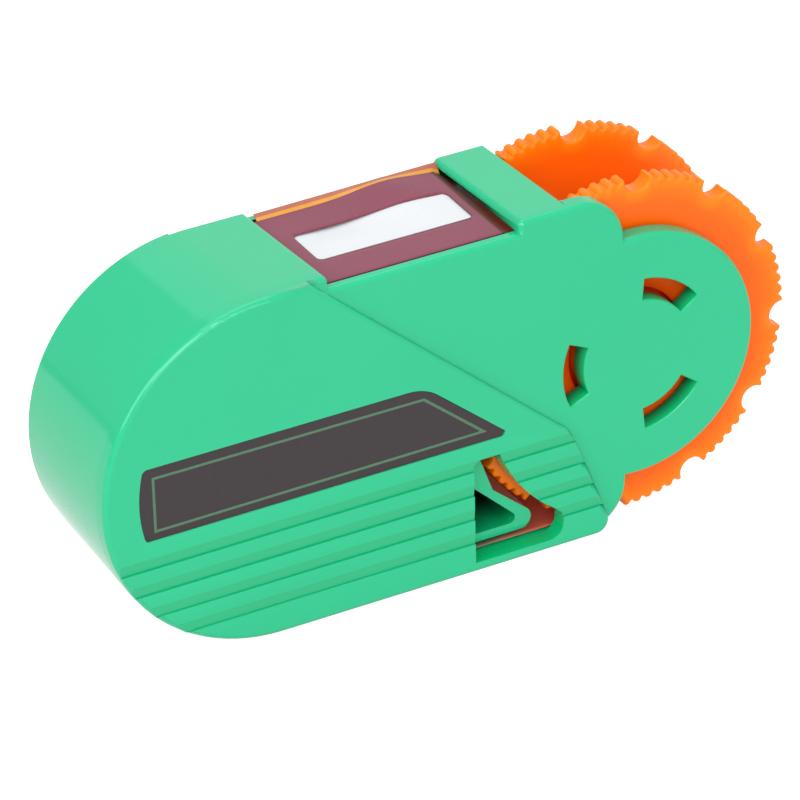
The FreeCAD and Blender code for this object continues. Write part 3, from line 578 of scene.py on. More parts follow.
def sharpen(mesh, width, rims):
    """Marks edges as sharp above one angle, or above a smaller one on long grooves.

    A sharp edge is weighted for a bevel of that width where it has room and where rims, if given, says so.
    """
    mesh.set_sharp_from_angle(angle=math.radians(SHARP_ABOVE))
    shell = bmesh.new()
    shell.from_mesh(mesh)
    weight = shell.edges.layers.float.new("bevel_weight_edge")
    for edge in shell.edges:
        bend = math.degrees(edge.calc_face_angle(0.0))
        if edge.calc_length() > RAMP_LONG * MM and bend > RAMP_ABOVE:
            edge.smooth = False
        room = min(near.calc_length() for corner in edge.verts for near in corner.link_edges)
        middle = from_dial(np.array(edge.verts[0].co + edge.verts[1].co) / 2)
        wanted = rims is None or rims(*middle)
        edge[weight] = float(bend > SHARP_ABOVE and room > BEVEL_ROOM * width * MM and wanted)
    shell.to_mesh(mesh)
    shell.free()


def face_middles(mesh):
    """Middle and normal of each face, the middle in millimetres from the dial's axis."""
    middle, normal = np.empty((2, len(mesh.polygons), 3))
    mesh.polygons.foreach_get("center", middle.ravel())
    mesh.polygons.foreach_get("normal", normal.ravel())
    return from_dial(middle), normal


def moulding(node, material, body, slot, edge, reshape=None, inner=(), rims=None):
    """A merged copy of one solid, with fine bevelled edges and weighted normals.

    reshape moves the copy's points; inner lists other finishes, each with the test for the faces that take
    it; rims picks the edges that are bevelled.
    """
    mesh = merged_copy(node)
    mesh.materials.append(material)
    sharpen(mesh, edge, rims)
    if reshape:
        points = np.empty((len(mesh.vertices), 3))
        mesh.vertices.foreach_get("co", points.ravel())
        mesh.vertices.foreach_set("co", reshape(points).ravel())
        mesh.update()
    finish = np.zeros(len(mesh.polygons), np.int32)
    for number, (other, takes) in enumerate(inner, start=1):
        mesh.materials.append(other)
        finish[takes(*face_middles(mesh))] = number
    mesh.polygons.foreach_set("material_index", finish)
    piece = bpy.data.objects.new(f"{node}_moulding", mesh)
    scene.collection.objects.link(piece)
    if edge:
        bevel = piece.modifiers.new("edge_break", "BEVEL")
        bevel.width = edge * MM
        bevel.segments = 2
        bevel.limit_method = "WEIGHT"
        bevel.use_clamp_overlap = True
    weighted = piece.modifiers.new("flat_faces", "WEIGHTED_NORMAL")
    weighted.keep_sharp = True
    return settle(piece, body, slot, node)


print("edges are sharp above", SHARP_ABOVE, "degrees")

# %% [markdown]
# The rear half leaves its mould backwards, so its outer skin leans in a little towards the back: a shift
# towards the middle line that grows with the depth. The face that the part stands on doesn't lean.

# %% Draft of the rear half
ROUND_X = -64.0
SKIN_REACH = 28.0
SKIN_BAND = 0.3
DRAFT_FROM = 1.6
DRAFT_DEPTH = 26.5
DRAFT_AT = (-53.6, -20.8)
DRAFT_LEAN = (1.3, 0.95)
DRAFT_RISE = (-26.0, -14.0)


def drafted(points):
    """Outer points drawn to the middle line in proportion to their depth; the standing face stays level."""
    x, y, z = from_dial(points).T
    aside = np.minimum(x - ROUND_X, 0.0)
    reach = np.maximum(np.hypot(aside, z), 1.0)
    lean = np.interp(x, DRAFT_AT, DRAFT_LEAN) * np.clip((y - DRAFT_FROM) / DRAFT_DEPTH, 0, 1)
    skin = smooth_step(reach, SKIN_REACH - SKIN_BAND, SKIN_REACH + SKIN_BAND)
    lean = lean * skin * smooth_step(z, *DRAFT_RISE)
    return at(x - aside * lean / reach, y, z - z * lean / reach)


print("most draft, mm:", max(DRAFT_LEAN))

# %% [markdown]
# The panel's grip grooves are ramps that sink from the panel's front to a foot. The picture shows them
# taller and shallower than the solid has them, so the ramps' points are spread out. A point that lies on
# another edge moves along that edge, because a flat face with many corners must keep them all on its
# outline.

# %% Grip grooves
PANEL_FRONT = -1.2
GROOVE_FOOT = -11.2
GROOVE_PITCH = 4.3
GROOVE_ROWS = 4
RAMP_TALL = 1.45
RAMP_DEEP = 0.6
RAMP_CLEAR = 2.45
SHOWN_TALL = 2.0
SHOWN_DEEP = 0.3
FOOT_SLACK = 0.01
DEPTH_SLACK = 0.012
RISE_SLACK = 0.015
ARC_SLACK = 0.2
RIM_REACH = 26.0
RIM_BACK = -0.25
OPENING_ARC = 27.2
SLANT_FROM = -14.0
SIDE_SLANT = -0.371
CORNER_SLANT = -1.07


def on_circle(x, z, height):
    """How far aside of the circle's middle a point lies after it slides round to another height."""
    return np.sqrt(np.maximum(x ** 2 + z ** 2 - height ** 2, 0))


def shallow_grooves(points):
    """Points of each groove's ramp, spread from the moulded ramp to a taller, shallower one.

    A point moves along the edge it lies on: the round end, the opening's arc or the panel's slanted side.
    Points of the rounded rim just above a ramp are pushed together, so that none is overtaken.
    """
    x, y, z = from_dial(points).T
    row = np.clip(np.ceil((GROOVE_FOOT - z - FOOT_SLACK) / GROOVE_PITCH), 0, GROOVE_ROWS - 1)
    foot = GROOVE_FOOT - GROOVE_PITCH * row
    rise = z - foot
    deep = np.clip(1 - rise / RAMP_TALL, 0, 1)
    flush = np.abs(y - PANEL_FRONT - RAMP_DEEP * deep) < DEPTH_SLACK
    ramp = flush & (rise > -RISE_SLACK) & (rise < RAMP_TALL + RISE_SLACK)
    ends = (x < ROUND_X) & (np.hypot(x - ROUND_X, z) > RIM_REACH) | (x > SLANT_FROM)
    moved = ramp | ends & (y < RIM_BACK) & (rise > 0) & (rise < RAMP_CLEAR)
    shown_rise = np.interp(rise, (0, RAMP_TALL, RAMP_CLEAR), (0, SHOWN_TALL, RAMP_CLEAR))
    taller = np.where(moved, foot + shown_rise, z)
    on_arc = ramp & (np.abs(np.hypot(x, z) - OPENING_ARC) < ARC_SLACK)
    slant = np.where(row == 0, CORNER_SLANT, SIDE_SLANT)
    along = np.where(moved & (x < ROUND_X), ROUND_X - on_circle(x - ROUND_X, z, taller), x)
    along = np.where(on_arc, -on_circle(x, z, taller), along)
    along = np.where(moved & (x > SLANT_FROM), x + slant * (taller - z), along)
    return at(along, np.where(ramp, PANEL_FRONT + SHOWN_DEEP * deep, y), taller)


print("grooves:", GROOVE_ROWS, "ramps,", SHOWN_TALL, "mm tall and", SHOWN_DEEP, "mm deep")

# %% [markdown]
# Inner walls, slot walls and groove ramps take painted shade, and the nose's upper face a painted
# reflection of the wheel's orange. Each is found by a test on the middle and the normal of its faces. Only
# the front edges of the ear's slots are bevelled on the cover.

# %% Case halves
SLOT_BAND = (8.8, 14.4)
SLOT_WALL_FROM = 0.3
SLOT_BREAK = 0.22
RIM_SLACK = 0.1
WALL_TURN = 0.5
INSIDE_REACH = 27.6
INSIDE_DEPTH = (2.3, 26.0)
NOSE_NORMAL = (0.65, 0.0, 0.76)
NOSE_ALONG = (-27.0, -15.0)
NOSE_BELOW = -14.0
OPENING_ALONG = (-30.6, -4.0)
OPENING_RISE = (-28.0, -9.6)
OPENING_FROM = -0.6


def between(value, limits):
    """Whether a value lies between two limits."""
    return (value > limits[0]) & (value < limits[1])


def inside_case(middle, normal):
    """Faces behind the front plane that lie within the outer skin, apart from the rear face."""
    x, y, z = middle.T
    return (np.hypot(np.minimum(x - ROUND_X, 0.0), z) < INSIDE_REACH) & between(y, INSIDE_DEPTH)


def nose_reflection_faces(middle, normal):
    """The nose's upper face, turned to the wheel; it takes a painted reflection of the wheel's orange."""
    return (normal @ NOSE_NORMAL > 0.98) & between(middle[:, 0], NOSE_ALONG) & (middle[:, 2] < NOSE_BELOW)


def slot_wall(middle, normal):
    """Side walls of the ear's slots: behind the front plane, near the slots' radius, facing aside."""
    x, y, z = middle.T
    return between(np.hypot(x, z), SLOT_BAND) & (y > SLOT_WALL_FROM) & (np.abs(normal[:, 1]) < WALL_TURN)


def opening_wall(middle, normal):
    """Walls of the lower opening."""
    x, y, z = middle.T
    place = between(x, OPENING_ALONG) & between(z, OPENING_RISE) & (y > OPENING_FROM)
    return place & (np.abs(normal[:, 1]) < WALL_TURN)


def groove_ramp(middle, normal):
    """Ramps of the grooves, with painted shade: between the panel's front and the ear's plane, turned down a
    little.
    """
    return between(middle[:, 1], (PANEL_FRONT, 0.0)) & (normal[:, 1] < -0.9) & (normal[:, 2] < -0.1)


def slot_rim(x, y, z):
    """Front edges of the ear's slots."""
    return between(math.hypot(x, z), SLOT_BAND) and abs(y) < RIM_SLACK


moulding("front_cover", GREEN, "case", "green_case", edge=SLOT_BREAK, reshape=shallow_grooves, rims=slot_rim,
         inner=[(SLOT_WALL_PAINTED_SHADE, slot_wall), (GROOVE_PAINTED_SHADE, groove_ramp), (CASE_INSIDE_PAINTED_SHADE, opening_wall)])
moulding("rear_case", GREEN, "case", "green_case", edge=0, reshape=drafted,
         inner=[(CASE_INSIDE_PAINTED_SHADE, inside_case), (NOSE_PAINTED_REFLECTION, nose_reflection_faces)])

# %% [markdown]
# ## Thumb wheels
#
# Each wheel is an orange disc whose rim carries groups of six rounded teeth, parted by round notches. A
# solid could be beaten into shape by booleans, but the rim is really one function: its radius against the
# angle.

# %% Rim outline
WHEEL_RADIUS = 29.0
GROUPS = 12
GROUP = 360.0 / GROUPS
NOTCH_AT = 85.25
NOTCH_ROUND = 2.25
TEETH = 6
TOOTH_PITCH = 4.02
TOOTH_ROUND = 0.8
TOOTH_DEPTH = 0.6


def rim_radius(angle):
    """Radius of the rim: a root circle plus round bumps at the tooth pitch, cut by a notch per group."""
    phase = (angle - NOTCH_AT) % GROUP
    first = (GROUP - (TEETH - 1) * TOOTH_PITCH) / 2
    order = np.clip(np.round((phase - first) / TOOTH_PITCH), 0, TEETH - 1)
    aside = np.radians(phase - first - order * TOOTH_PITCH) * WHEEL_RADIUS
    bump = np.sqrt(np.maximum(TOOTH_ROUND ** 2 - aside ** 2, 0)) - (TOOTH_ROUND - TOOTH_DEPTH)
    toothed = WHEEL_RADIUS - TOOTH_DEPTH + np.maximum(bump, 0)
    away = np.radians(np.minimum(phase, GROUP - phase))
    inside = NOTCH_ROUND ** 2 - (WHEEL_RADIUS * np.sin(away)) ** 2
    notch = WHEEL_RADIUS * np.cos(away) - np.sqrt(np.maximum(inside, 0))
    return np.where(inside > 0, np.minimum(toothed, notch), toothed)


def rim_columns():
    """Angles of the grid: close together on the notch walls, even along the teeth."""
    wall = np.sin(np.linspace(-np.pi / 2, np.pi / 2, 27))
    swing = np.degrees(np.arcsin(NOTCH_ROUND / WHEEL_RADIUS * wall))
    along = np.linspace(swing[-1], GROUP + swing[0], 92)[1:-1]
    one = np.concatenate([swing, along])
    return (NOTCH_AT + one[None, :] + GROUP * np.arange(GROUPS)[:, None]).ravel()


print("rim:", GROUPS * TEETH, "teeth on", rim_columns().size, "columns")

# %% [markdown]
# The moulded rounding of the rim's two edges is the same outline worn back by a disc of growing size. So
# each ring of the surface is the rim's function after a wearing step, and the whole wheel is one closed
# grid.

# %% Wheel surface
WHEEL_BORE = 9.02
WHEEL_PLATE = 3.2
FRONT_WHEEL = 3.7
REAR_WHEEL = 23.3
FINE = 7200
FINE_STEP = math.radians(360 / FINE)
SEAT_RADIUS = 10.0
SEAT_SUNK = 1.6
SEAT_EDGE = (10.2, 10.45)
SEAT_CHAMFER = 0.2
FACE_RADII = (14.5, 20.0, 24.4)
BACK_RADII = (24.4, 14.0)
RIM_BAND = 1.7
RIM_ROUND = 0.5


def worn_back(radius, amount):
    """An outline worn by a disc of that size: the least of its shifted copies, each lowered by the disc."""
    steps = int(np.ceil(amount / (WHEEL_RADIUS * FINE_STEP)))
    worn = radius.copy()
    for shift in range(-steps, steps + 1):
        aside = shift * WHEEL_RADIUS * FINE_STEP
        drop = math.sqrt(max(amount ** 2 - aside ** 2, 0.0))
        worn = np.minimum(worn, np.roll(radius, shift) - drop)
    return worn


def wheel_rings(front, outline, sunk):
    """Rings (radius, depth, rim share) from the front: bore, hub seat, flat face, rounded edges, back."""
    back = front + WHEEL_PLATE
    band = worn_back(outline, RIM_BAND)
    turns = np.radians(np.linspace(0, 90, 6))
    worn = [worn_back(outline, RIM_ROUND * (1 - math.sin(turn))) for turn in turns]
    drops = [RIM_ROUND * (1 - math.cos(turn)) for turn in turns]
    rings = [(WHEEL_BORE, front + sunk, -1), (SEAT_RADIUS, front + sunk, -1)]
    rings += [(SEAT_EDGE[0], front + SEAT_CHAMFER, -0.8), (SEAT_EDGE[1], front, -0.6)]
    rings += [(radius, front, 0) for radius in FACE_RADII]
    rings += [(band, front, 0.4)]
    rings += [(radius, front + drop, 0.9) for radius, drop in zip(worn, drops)]
    rings += [(radius, back - drop, 0.9) for radius, drop in zip(worn[::-1], drops[::-1])]
    rings += [(band, back, 0.4)]
    rings += [(radius, back, 0) for radius in (*BACK_RADII, WHEEL_BORE)]
    return rings


def wheel_piece(name, front, sunk=0.0):
    """The rings of one wheel as a closed grid, with its rim share stored for the tone."""
    fine = np.arange(FINE) * 360 / FINE
    columns = rim_columns()
    radii, depths, shares = zip(*wheel_rings(front, rim_radius(fine), sunk))
    radius = np.array([np.full(columns.size, r) if np.isscalar(r) else np.interp(columns, fine, r, period=360)
                       for r in radii])
    angle = np.radians(columns)[None, :]
    grid = at(radius * np.cos(angle), np.array(depths)[:, None], radius * np.sin(angle))
    piece = closed_piece(name, grid[None], ORANGE)
    store(piece, "rim", np.repeat(shares, columns.size))
    return piece


settle(wheel_piece("front_wheel", FRONT_WHEEL, SEAT_SUNK), "dial", "orange_dial", "front_thumb_wheel")
settle(wheel_piece("rear_wheel", REAR_WHEEL), "dial", "orange_dial", "rear_thumb_wheel")

# %% [markdown]
# The mould's ejector pins leave faint round marks on the wheel's front face. Each is a very low ring, half
# sunk in the face: a small circle carried round a larger one.

# %% Ejector marks
MARK_COUNT = 6
MARK_AT = 99.0
MARK_REACH = 22.9
MARK_RADIUS = 1.9
MARK_GAUGE = 0.035


def ejector_marks(around=56, section=8):
    """Rings of one mark by two angles, repeated evenly round the dial."""
    along = whole_turn(around)[:, None]
    across = whole_turn(section)[None, :]
    reach = MARK_RADIUS + MARK_GAUGE * np.cos(across)
    turns = np.radians(MARK_AT + np.arange(MARK_COUNT) * 360 / MARK_COUNT)[:, None, None]
    x = MARK_REACH * np.cos(turns) + reach * np.cos(along)
    z = MARK_REACH * np.sin(turns) + reach * np.sin(along)
    grids = at(x, FRONT_WHEEL + MARK_GAUGE * np.sin(across), z)
    return closed_piece("ejector_marks", grids, ORANGE, smooth_below=60)


settle(ejector_marks(), "dial", "orange_dial")

# %% [markdown]
# ## Amber film
#
# A thin springy film covers the cloth and lets it show only through a slot. It runs from a bent flap under
# the bridge, over the window, round the end of the case and back to the lower opening. A film with a hole
# is a ring of quads between the slot's outline and a rectangle. It bulges a little, which the light shows
# clearly.

# %% Film in the window
FILM_LEVEL = 27.05
FILM_FRONT = 2.1
CREASE_BACK = 24.5
PATCH_LEFT = -53.0
PATCH_RIGHT = -22.6
SLOT_LEFT = -50.6
SLOT_RIGHT = -23.75
SLOT_FRONT = 8.85
SLOT_BACK = 17.6
SLOT_CORNER = 1.0
SWELL = 0.95
SWELL_AT = -31.0
SWELL_WIDE = 6.5
SWELL_FROM = 0.35
CLIMB = 0.36
CLIMB_LEFT = (-58.0, -52.0)
ACROSS = 30
ALONG = 90


def film_level(x, y):
    """Height of the film: a gentle climb to the back, and a hump that grows towards the rear fold."""
    back = np.clip((y - FILM_FRONT) / (CREASE_BACK - FILM_FRONT), 0, 1)
    hump = SWELL * np.exp(-((x - SWELL_AT) / SWELL_WIDE) ** 2) * smooth_step(back, SWELL_FROM, 1.0)
    return FILM_LEVEL + smooth_step(x, *CLIMB_LEFT) * (CLIMB * back + hump)


def rounded(share, half, over, shrink):
    """One coordinate of a rounded rectangle: the part beyond a corner's start is drawn in."""
    start = half - SLOT_CORNER
    return np.sign(share) * np.where(over > 0, start + over * shrink, np.abs(share) * half)


def film_patch(rings=9):
    """Rings from the window rectangle to the slot's outline: the rectangle's edge, drawn in by steps."""
    side = np.linspace(-1, 1, ALONG + 1)[:-1]
    rise = np.linspace(-1, 1, ACROSS + 1)[:-1]
    u = np.concatenate([side, np.ones(ACROSS), -side, -np.ones(ACROSS)])
    v = np.concatenate([-np.ones(ALONG), rise, np.ones(ALONG), -rise])
    half_x, half_y = (SLOT_RIGHT - SLOT_LEFT) / 2, (SLOT_BACK - SLOT_FRONT) / 2
    over_x = np.maximum(np.abs(u) * half_x - (half_x - SLOT_CORNER), 0)
    over_y = np.maximum(np.abs(v) * half_y - (half_y - SLOT_CORNER), 0)
    corner = SLOT_CORNER / np.maximum(np.hypot(over_x, over_y), 1e-9)
    shrink = np.where((over_x > 0) & (over_y > 0), corner, 1.0)
    inner_x = rounded(u, half_x, over_x, shrink) + (SLOT_LEFT + SLOT_RIGHT) / 2
    inner_y = rounded(v, half_y, over_y, shrink) + (SLOT_FRONT + SLOT_BACK) / 2
    outer_x = (PATCH_LEFT + PATCH_RIGHT) / 2 + u * (PATCH_RIGHT - PATCH_LEFT) / 2
    outer_y = (FILM_FRONT + CREASE_BACK) / 2 + v * (CREASE_BACK - FILM_FRONT) / 2
    share = np.linspace(0, 1, rings)[:, None]
    x, y = outer_x + (inner_x - outer_x) * share, outer_y + (inner_y - outer_y) * share
    return at(x, y, film_level(x, y))


print("slot, mm:", round(SLOT_RIGHT - SLOT_LEFT, 2), "x", round(SLOT_BACK - SLOT_FRONT, 2))

# %% [markdown]
# Strips carry the rest of the film along its path: down the flap at the right, round the end of the case at
# the left and along its floor. The free rear margin is folded up, from a wavy fold to a straight edge.

# %% Film along its path
CREASE_RIGHT = -22.3
FLAP_TURN = math.radians(61.4)
FLAP = 5.4
FLOOR_END = -11.6
LIFT_FADE = 5.0
MARGIN_BACK = 25.7
MARGIN_RIGHT = -20.95
FOLD_DROP = 0.9
EDGE_LEVEL = 28.13
EDGE_CLIMB = 0.0105
EDGE_OVER = 0.04


def arc(x, z, radius, start, end, count):
    """Points of an arc in the x-z plane, by angle in degrees."""
    angle = np.radians(np.linspace(start, end, count))
    return np.stack([x + radius * np.cos(angle), z + radius * np.sin(angle)], axis=1)


def straight(start, end, level, count):
    """Points of a level line in the x-z plane."""
    return np.stack([np.linspace(start, end, count), np.full(count, level)], axis=1)


def run_along(path):
    """Length of the path up to each of its points."""
    return np.concatenate([[0], np.cumsum(np.hypot(*np.diff(path, axis=0).T))])


def film_path_right():
    """From the patch over a sharp crease down the flap under the bridge."""
    down = np.array([math.sin(FLAP_TURN), -math.cos(FLAP_TURN)])
    flap = np.array([CREASE_RIGHT, FILM_LEVEL]) + down * np.linspace(0, FLAP, 14)[:, None]
    return np.vstack([[(PATCH_RIGHT, FILM_LEVEL)], flap])


def film_path_left():
    """From the patch along the top and round the end of the case."""
    top = straight(PATCH_LEFT, ROUND_X, FILM_LEVEL, 12)
    return np.vstack([top, arc(ROUND_X, 0, FILM_LEVEL, 90, 270, 80)[1:]])


def film_path_floor():
    """Along the floor of the case to the dial."""
    return straight(ROUND_X, FLOOR_END, -FILM_LEVEL, 46)


def film_strip(path):
    """A path carried across the film's width; the patch's edge height fades out along its first part."""
    width = np.linspace(FILM_FRONT, CREASE_BACK, ACROSS + 1)[None, :]
    x, z = path[:, :1], path[:, 1:]
    fade = 1 - smooth_step(run_along(path)[:, None], 0, LIFT_FADE)
    return at(x, width, z + (film_level(x[0], width) - FILM_LEVEL) * fade)


def film_margin(rows=7):
    """The upturned margin: straight from the wavy fold to a straight edge, with each row's height share."""
    joined = np.linspace(PATCH_LEFT, PATCH_RIGHT, ALONG + 1)
    x = np.concatenate([joined, np.linspace(PATCH_RIGHT, MARGIN_RIGHT, 7)[1:]])[None, :]
    fold = film_level(x, CREASE_BACK) - FOLD_DROP * smooth_step(x, PATCH_RIGHT, MARGIN_RIGHT)
    edge = np.maximum(EDGE_LEVEL + EDGE_CLIMB * (x - PATCH_LEFT), fold + EDGE_OVER)
    share = np.linspace(0, 1, rows)[:, None]
    return at(x, CREASE_BACK + (MARGIN_BACK - CREASE_BACK) * share, fold + (edge - fold) * share), share


film_paths = (film_path_left(), film_path_right(), film_path_floor())
print("film strips, mm:", [round(run_along(path)[-1], 1) for path in film_paths])

# %% [markdown]
# The parts of the film share edge points, so merging these makes them one sheet.

# %% Film piece
FILM_GAUGE = 0.12
FOLD_ABOVE = 16.0
SHARED_POINT = 1e-5


def film_piece():
    """Patch, strips and margin joined along shared edge points; flap, floor and margin take painted shade and
    light.
    """
    margin, share = film_margin()
    grids = [film_patch(), *(film_strip(path) for path in film_paths), margin]
    points, quads, count = [], [], 0
    for number, grid in enumerate(grids):
        quads.append(grid_faces(*grid.shape[:2], close_columns=number == 0) + count)
        points.append(grid.reshape(-1, 3))
        count += len(points[-1])
    piece = new_piece("film_strip", np.vstack(points), np.vstack(quads), FILM)
    for finish in (FILM_PAINTED_SHADE, FLOOR_FILM_PAINTED_LIGHT, MARGIN):
        piece.data.materials.append(finish)
    finishes = np.repeat([0, 0, 1, 2, 3], [len(part) for part in quads])
    piece.data.polygons.foreach_set("material_index", finishes.astype(np.int32))
    height = np.broadcast_to(share, margin.shape[:2]).ravel()
    store(piece, "margin", np.concatenate([np.zeros(count - height.size), height]))
    shell = bmesh.new()
    shell.from_mesh(piece.data)
    bmesh.ops.remove_doubles(shell, verts=shell.verts, dist=SHARED_POINT)
    bmesh.ops.recalc_face_normals(shell, faces=shell.faces)
    shell.to_mesh(piece.data)
    shell.free()
    piece.data.shade_smooth()
    piece.data.set_sharp_from_angle(angle=math.radians(FOLD_ABOVE))
    give_gauge(piece, FILM_GAUGE)
    return piece


film = settle(film_piece(), "case", "film", "shutter_film")

# %% [markdown]
# ## Cloth
#
# The strip leaves the supply roll, bends over two rollers with the pad between them, and ends on the
# take-up roll. It is a path of straight runs and arcs carried across the strip's width. Over the pad it
# follows the film's hump from below, with a slight dip at the back. Its UV map is laid out in metres, so
# the weave keeps its size along the bends.

# %% Cloth strip
CLOTH_FRONT = 7.6
CLOTH_BACK = 22.2
CLOTH_LEVEL = 26.35
CLOTH_GAUGE = 0.16
ROLLER_LEFT = -56.8
ROLLER_RIGHT = -24.6
ROLLER_Z = 23.1
SUPPLY_REACH = 17.15
LEAVES_AT = 127.6
TAKE_UP_REACH = 11.75
ARRIVES_AT = 61.4
PAD_RISE = (-55.0, -50.5)
PAD_FALL = (-23.6, -21.5)
UNDER_FILM = 0.2
DIP = 0.42
DIP_AT = -43.5
DIP_WIDE = 5.5
DIP_BACK = (12.5, 17.5)


def cloth_path():
    """From the supply roll over the left roller, flat over the pad, over the right one to the take-up."""
    bend = CLOTH_LEVEL - ROLLER_Z
    start = arc(ROUND_X, 0, SUPPLY_REACH, LEAVES_AT, LEAVES_AT, 1)
    left = arc(ROLLER_LEFT, ROLLER_Z, bend, LEAVES_AT, 90, 10)
    right = arc(ROLLER_RIGHT, ROLLER_Z, bend, 90, ARRIVES_AT, 10)
    end = arc(0, 0, TAKE_UP_REACH, ARRIVES_AT, ARRIVES_AT, 1)
    share = np.linspace(0, 1, 26)[1:-1, None]
    rise = start + (left[:1] - start) * share
    flat = left[-1:] + (right[:1] - left[-1:]) * np.linspace(0, 1, 62)[1:-1, None]
    fall = right[-1:] + (end - right[-1:]) * share
    return np.vstack([start, rise, left, flat, right, fall, end])


def cloth_strip():
    """The path across the width; over the pad it is lifted to just under the film, less a dip at the back."""
    path = cloth_path()
    run = run_along(path)
    x, z = path[:, :1], path[:, 1:]
    width = np.linspace(CLOTH_FRONT, CLOTH_BACK, 31)
    over_pad = smooth_step(x, *PAD_RISE) * (1 - smooth_step(x, *PAD_FALL))
    under_film = film_level(x, np.minimum(width, SLOT_BACK + 1.0)[None, :]) - UNDER_FILM - CLOTH_LEVEL
    dip = DIP * np.exp(-((x - DIP_AT) / DIP_WIDE) ** 2) * smooth_step(width, *DIP_BACK)[None, :]
    grid = at(x, width[None, :], z + (under_film - dip) * over_pad)
    quads = grid_faces(*grid.shape[:2])
    piece = new_piece("cloth_strip", grid, quads, CLOTH)
    flat = np.stack(np.broadcast_arrays(run[:, None], width[None, :]), axis=-1).reshape(-1, 2) * MM
    layer = piece.data.uv_layers.new(name="UVMap")
    layer.data.foreach_set("uv", flat[quads.ravel()].astype(np.float32).ravel())
    piece.data.shade_smooth()
    give_gauge(piece, CLOTH_GAUGE)
    return piece, run[-1]


cloth, cloth_long = cloth_strip()
settle(cloth, "case", "cloth", "cloth_web")
print("cloth, mm:", round(CLOTH_BACK - CLOTH_FRONT, 2), "x", round(cloth_long, 1))

# %% [markdown]
# A wound roll shows its turns on its two ends as fine steps. That is a profile carried round the axis: the
# ends are a row of small ridges against the radius, and the outside is slightly barrelled. No roll is quite
# round, so the radius wavers a little with the angle, most of all on the outside.

# %% Wound rolls
RIDGE = 0.11
RIDGE_POWER = 0.6
BARREL_OUT = 0.04
BARREL_DROP = 0.05
WAVER = 0.002
WAVER_COUNT = 5


def wound_roll(name, x, inner, outer, turns, around=220):
    """Closed rings: ridged front end, outside, ridged back end, bore."""
    step = np.linspace(0, 1, turns * 4 + 1)
    ridge = RIDGE * np.abs(np.sin(step * turns * np.pi)) ** RIDGE_POWER
    radius = inner + (outer - inner) * step
    side = np.linspace(CLOTH_FRONT, CLOTH_BACK, 14)[1:-1]
    barrel = outer + BARREL_OUT - BARREL_DROP * ((side - side.mean()) / (side[-1] - side.mean())) ** 4
    profile_r = np.concatenate([radius, barrel, radius[::-1]])[:, None]
    front, back = CLOTH_FRONT + RIDGE - ridge, CLOTH_BACK - RIDGE + ridge[::-1]
    profile_y = np.concatenate([front, side, back])[:, None]
    angle = whole_turn(around)[None, :]
    waver = 1 + WAVER * np.sin(WAVER_COUNT * angle) * (profile_r - inner) / (outer - inner)
    reach = profile_r * waver
    grid = at(x + reach * np.cos(angle), profile_y, reach * np.sin(angle))
    return closed_piece(name, grid[None], WOUND, smooth_below=60)


settle(wound_roll("used_roll", 0.0, 9.03, 11.55, 12), "dial", "cloth", "used_cloth_roll")
settle(wound_roll("fresh_roll", ROUND_X, 7.53, 16.9, 30), "supply", "cloth", "cloth_roll")

# %% [markdown]
# ## Pad under the cloth
#
# The pad is a small firm cushion. Its form is a rounded box whose top crowns a little and whose sides pull
# in: a superellipse in plan, carried through a rounded section. It lies flat on its platen.

# %% Cleaning pad
PAD_MIDDLE = (-40.25, 14.9)
PAD_HALF = (11.1, 7.85)
PAD_FOOT = 24.21
PAD_TALL = 2.35
PAD_POWER = 2 / 9
PAD_POLE = 0.03
FOOT_SIZE = 0.985
TOP_SIZE = 0.97
WAIST_AT = 0.5
SHOULDER_AT = 0.92


def pad_grid(across=120, levels=14):
    """Rings of a superellipse in plan; their sizes and heights follow a rounded section between two poles."""
    angle = whole_turn(across)[None, :]
    section = np.linspace(0, np.pi / 2, levels)
    foot = np.linspace(PAD_POLE, FOOT_SIZE, 8)[:-1]
    crown = np.linspace(TOP_SIZE, PAD_POLE, 9)[1:]
    size = np.concatenate([foot, FOOT_SIZE + (1 - FOOT_SIZE) * np.sin(section * 2) ** 0.5,
                           1 - (1 - TOP_SIZE) * (1 - np.cos(section)), crown])[:, None]
    height = np.concatenate([np.zeros(foot.size), WAIST_AT * section / section[-1],
                             WAIST_AT + (SHOULDER_AT - WAIST_AT) * np.sin(section),
                             SHOULDER_AT + (1 - SHOULDER_AT) * (1 - crown ** 2)])[:, None]
    plan_x, plan_y = (np.sign(wave) * np.abs(wave) ** PAD_POWER for wave in (np.cos(angle), np.sin(angle)))
    return at(PAD_MIDDLE[0] + PAD_HALF[0] * size * plan_x, PAD_MIDDLE[1] + PAD_HALF[1] * size * plan_y,
              PAD_FOOT + PAD_TALL * height)


pad = close_ends(closed_piece("pad", pad_grid()[None], FELT, close_rows=False, smooth_below=50))
settle(pad, "case", "pad", "cleaning_pad")

# %% [markdown]
# ## Label
#
# The label is a thin dark plate in a shallow recess of the front panel. It stays bare, apart from the thin
# line that runs round inside its edge. The line is a low band with sloped sides, carried round four
# corners.

# %% Label line
LABEL_FACE = -1.05
LINE_WIDTH = 0.45
LINE_SLOPE = 0.06
LINE_RISE = 0.03
LINE_CORNERS = np.array([(-85.1, 4.6), (-38.5, 4.45), (-27.7, -4.65), (-85.1, -5.0)])


def inset(corners, amount):
    """The same four-sided outline moved inwards: sides shift along their normals and are cut anew."""
    ahead = np.roll(corners, -1, axis=0) - corners
    ahead = ahead / np.linalg.norm(ahead, axis=1)[:, None]
    normal = np.stack([ahead[:, 1], -ahead[:, 0]], axis=1)
    behind, before = np.roll(ahead, 1, axis=0), np.roll(normal, 1, axis=0)
    turn = behind[:, 0] * ahead[:, 1] - behind[:, 1] * ahead[:, 0]
    shift = normal - before
    slide = (shift[:, 0] * ahead[:, 1] - shift[:, 1] * ahead[:, 0]) / turn
    return corners + amount * (before + behind * slide[:, None])


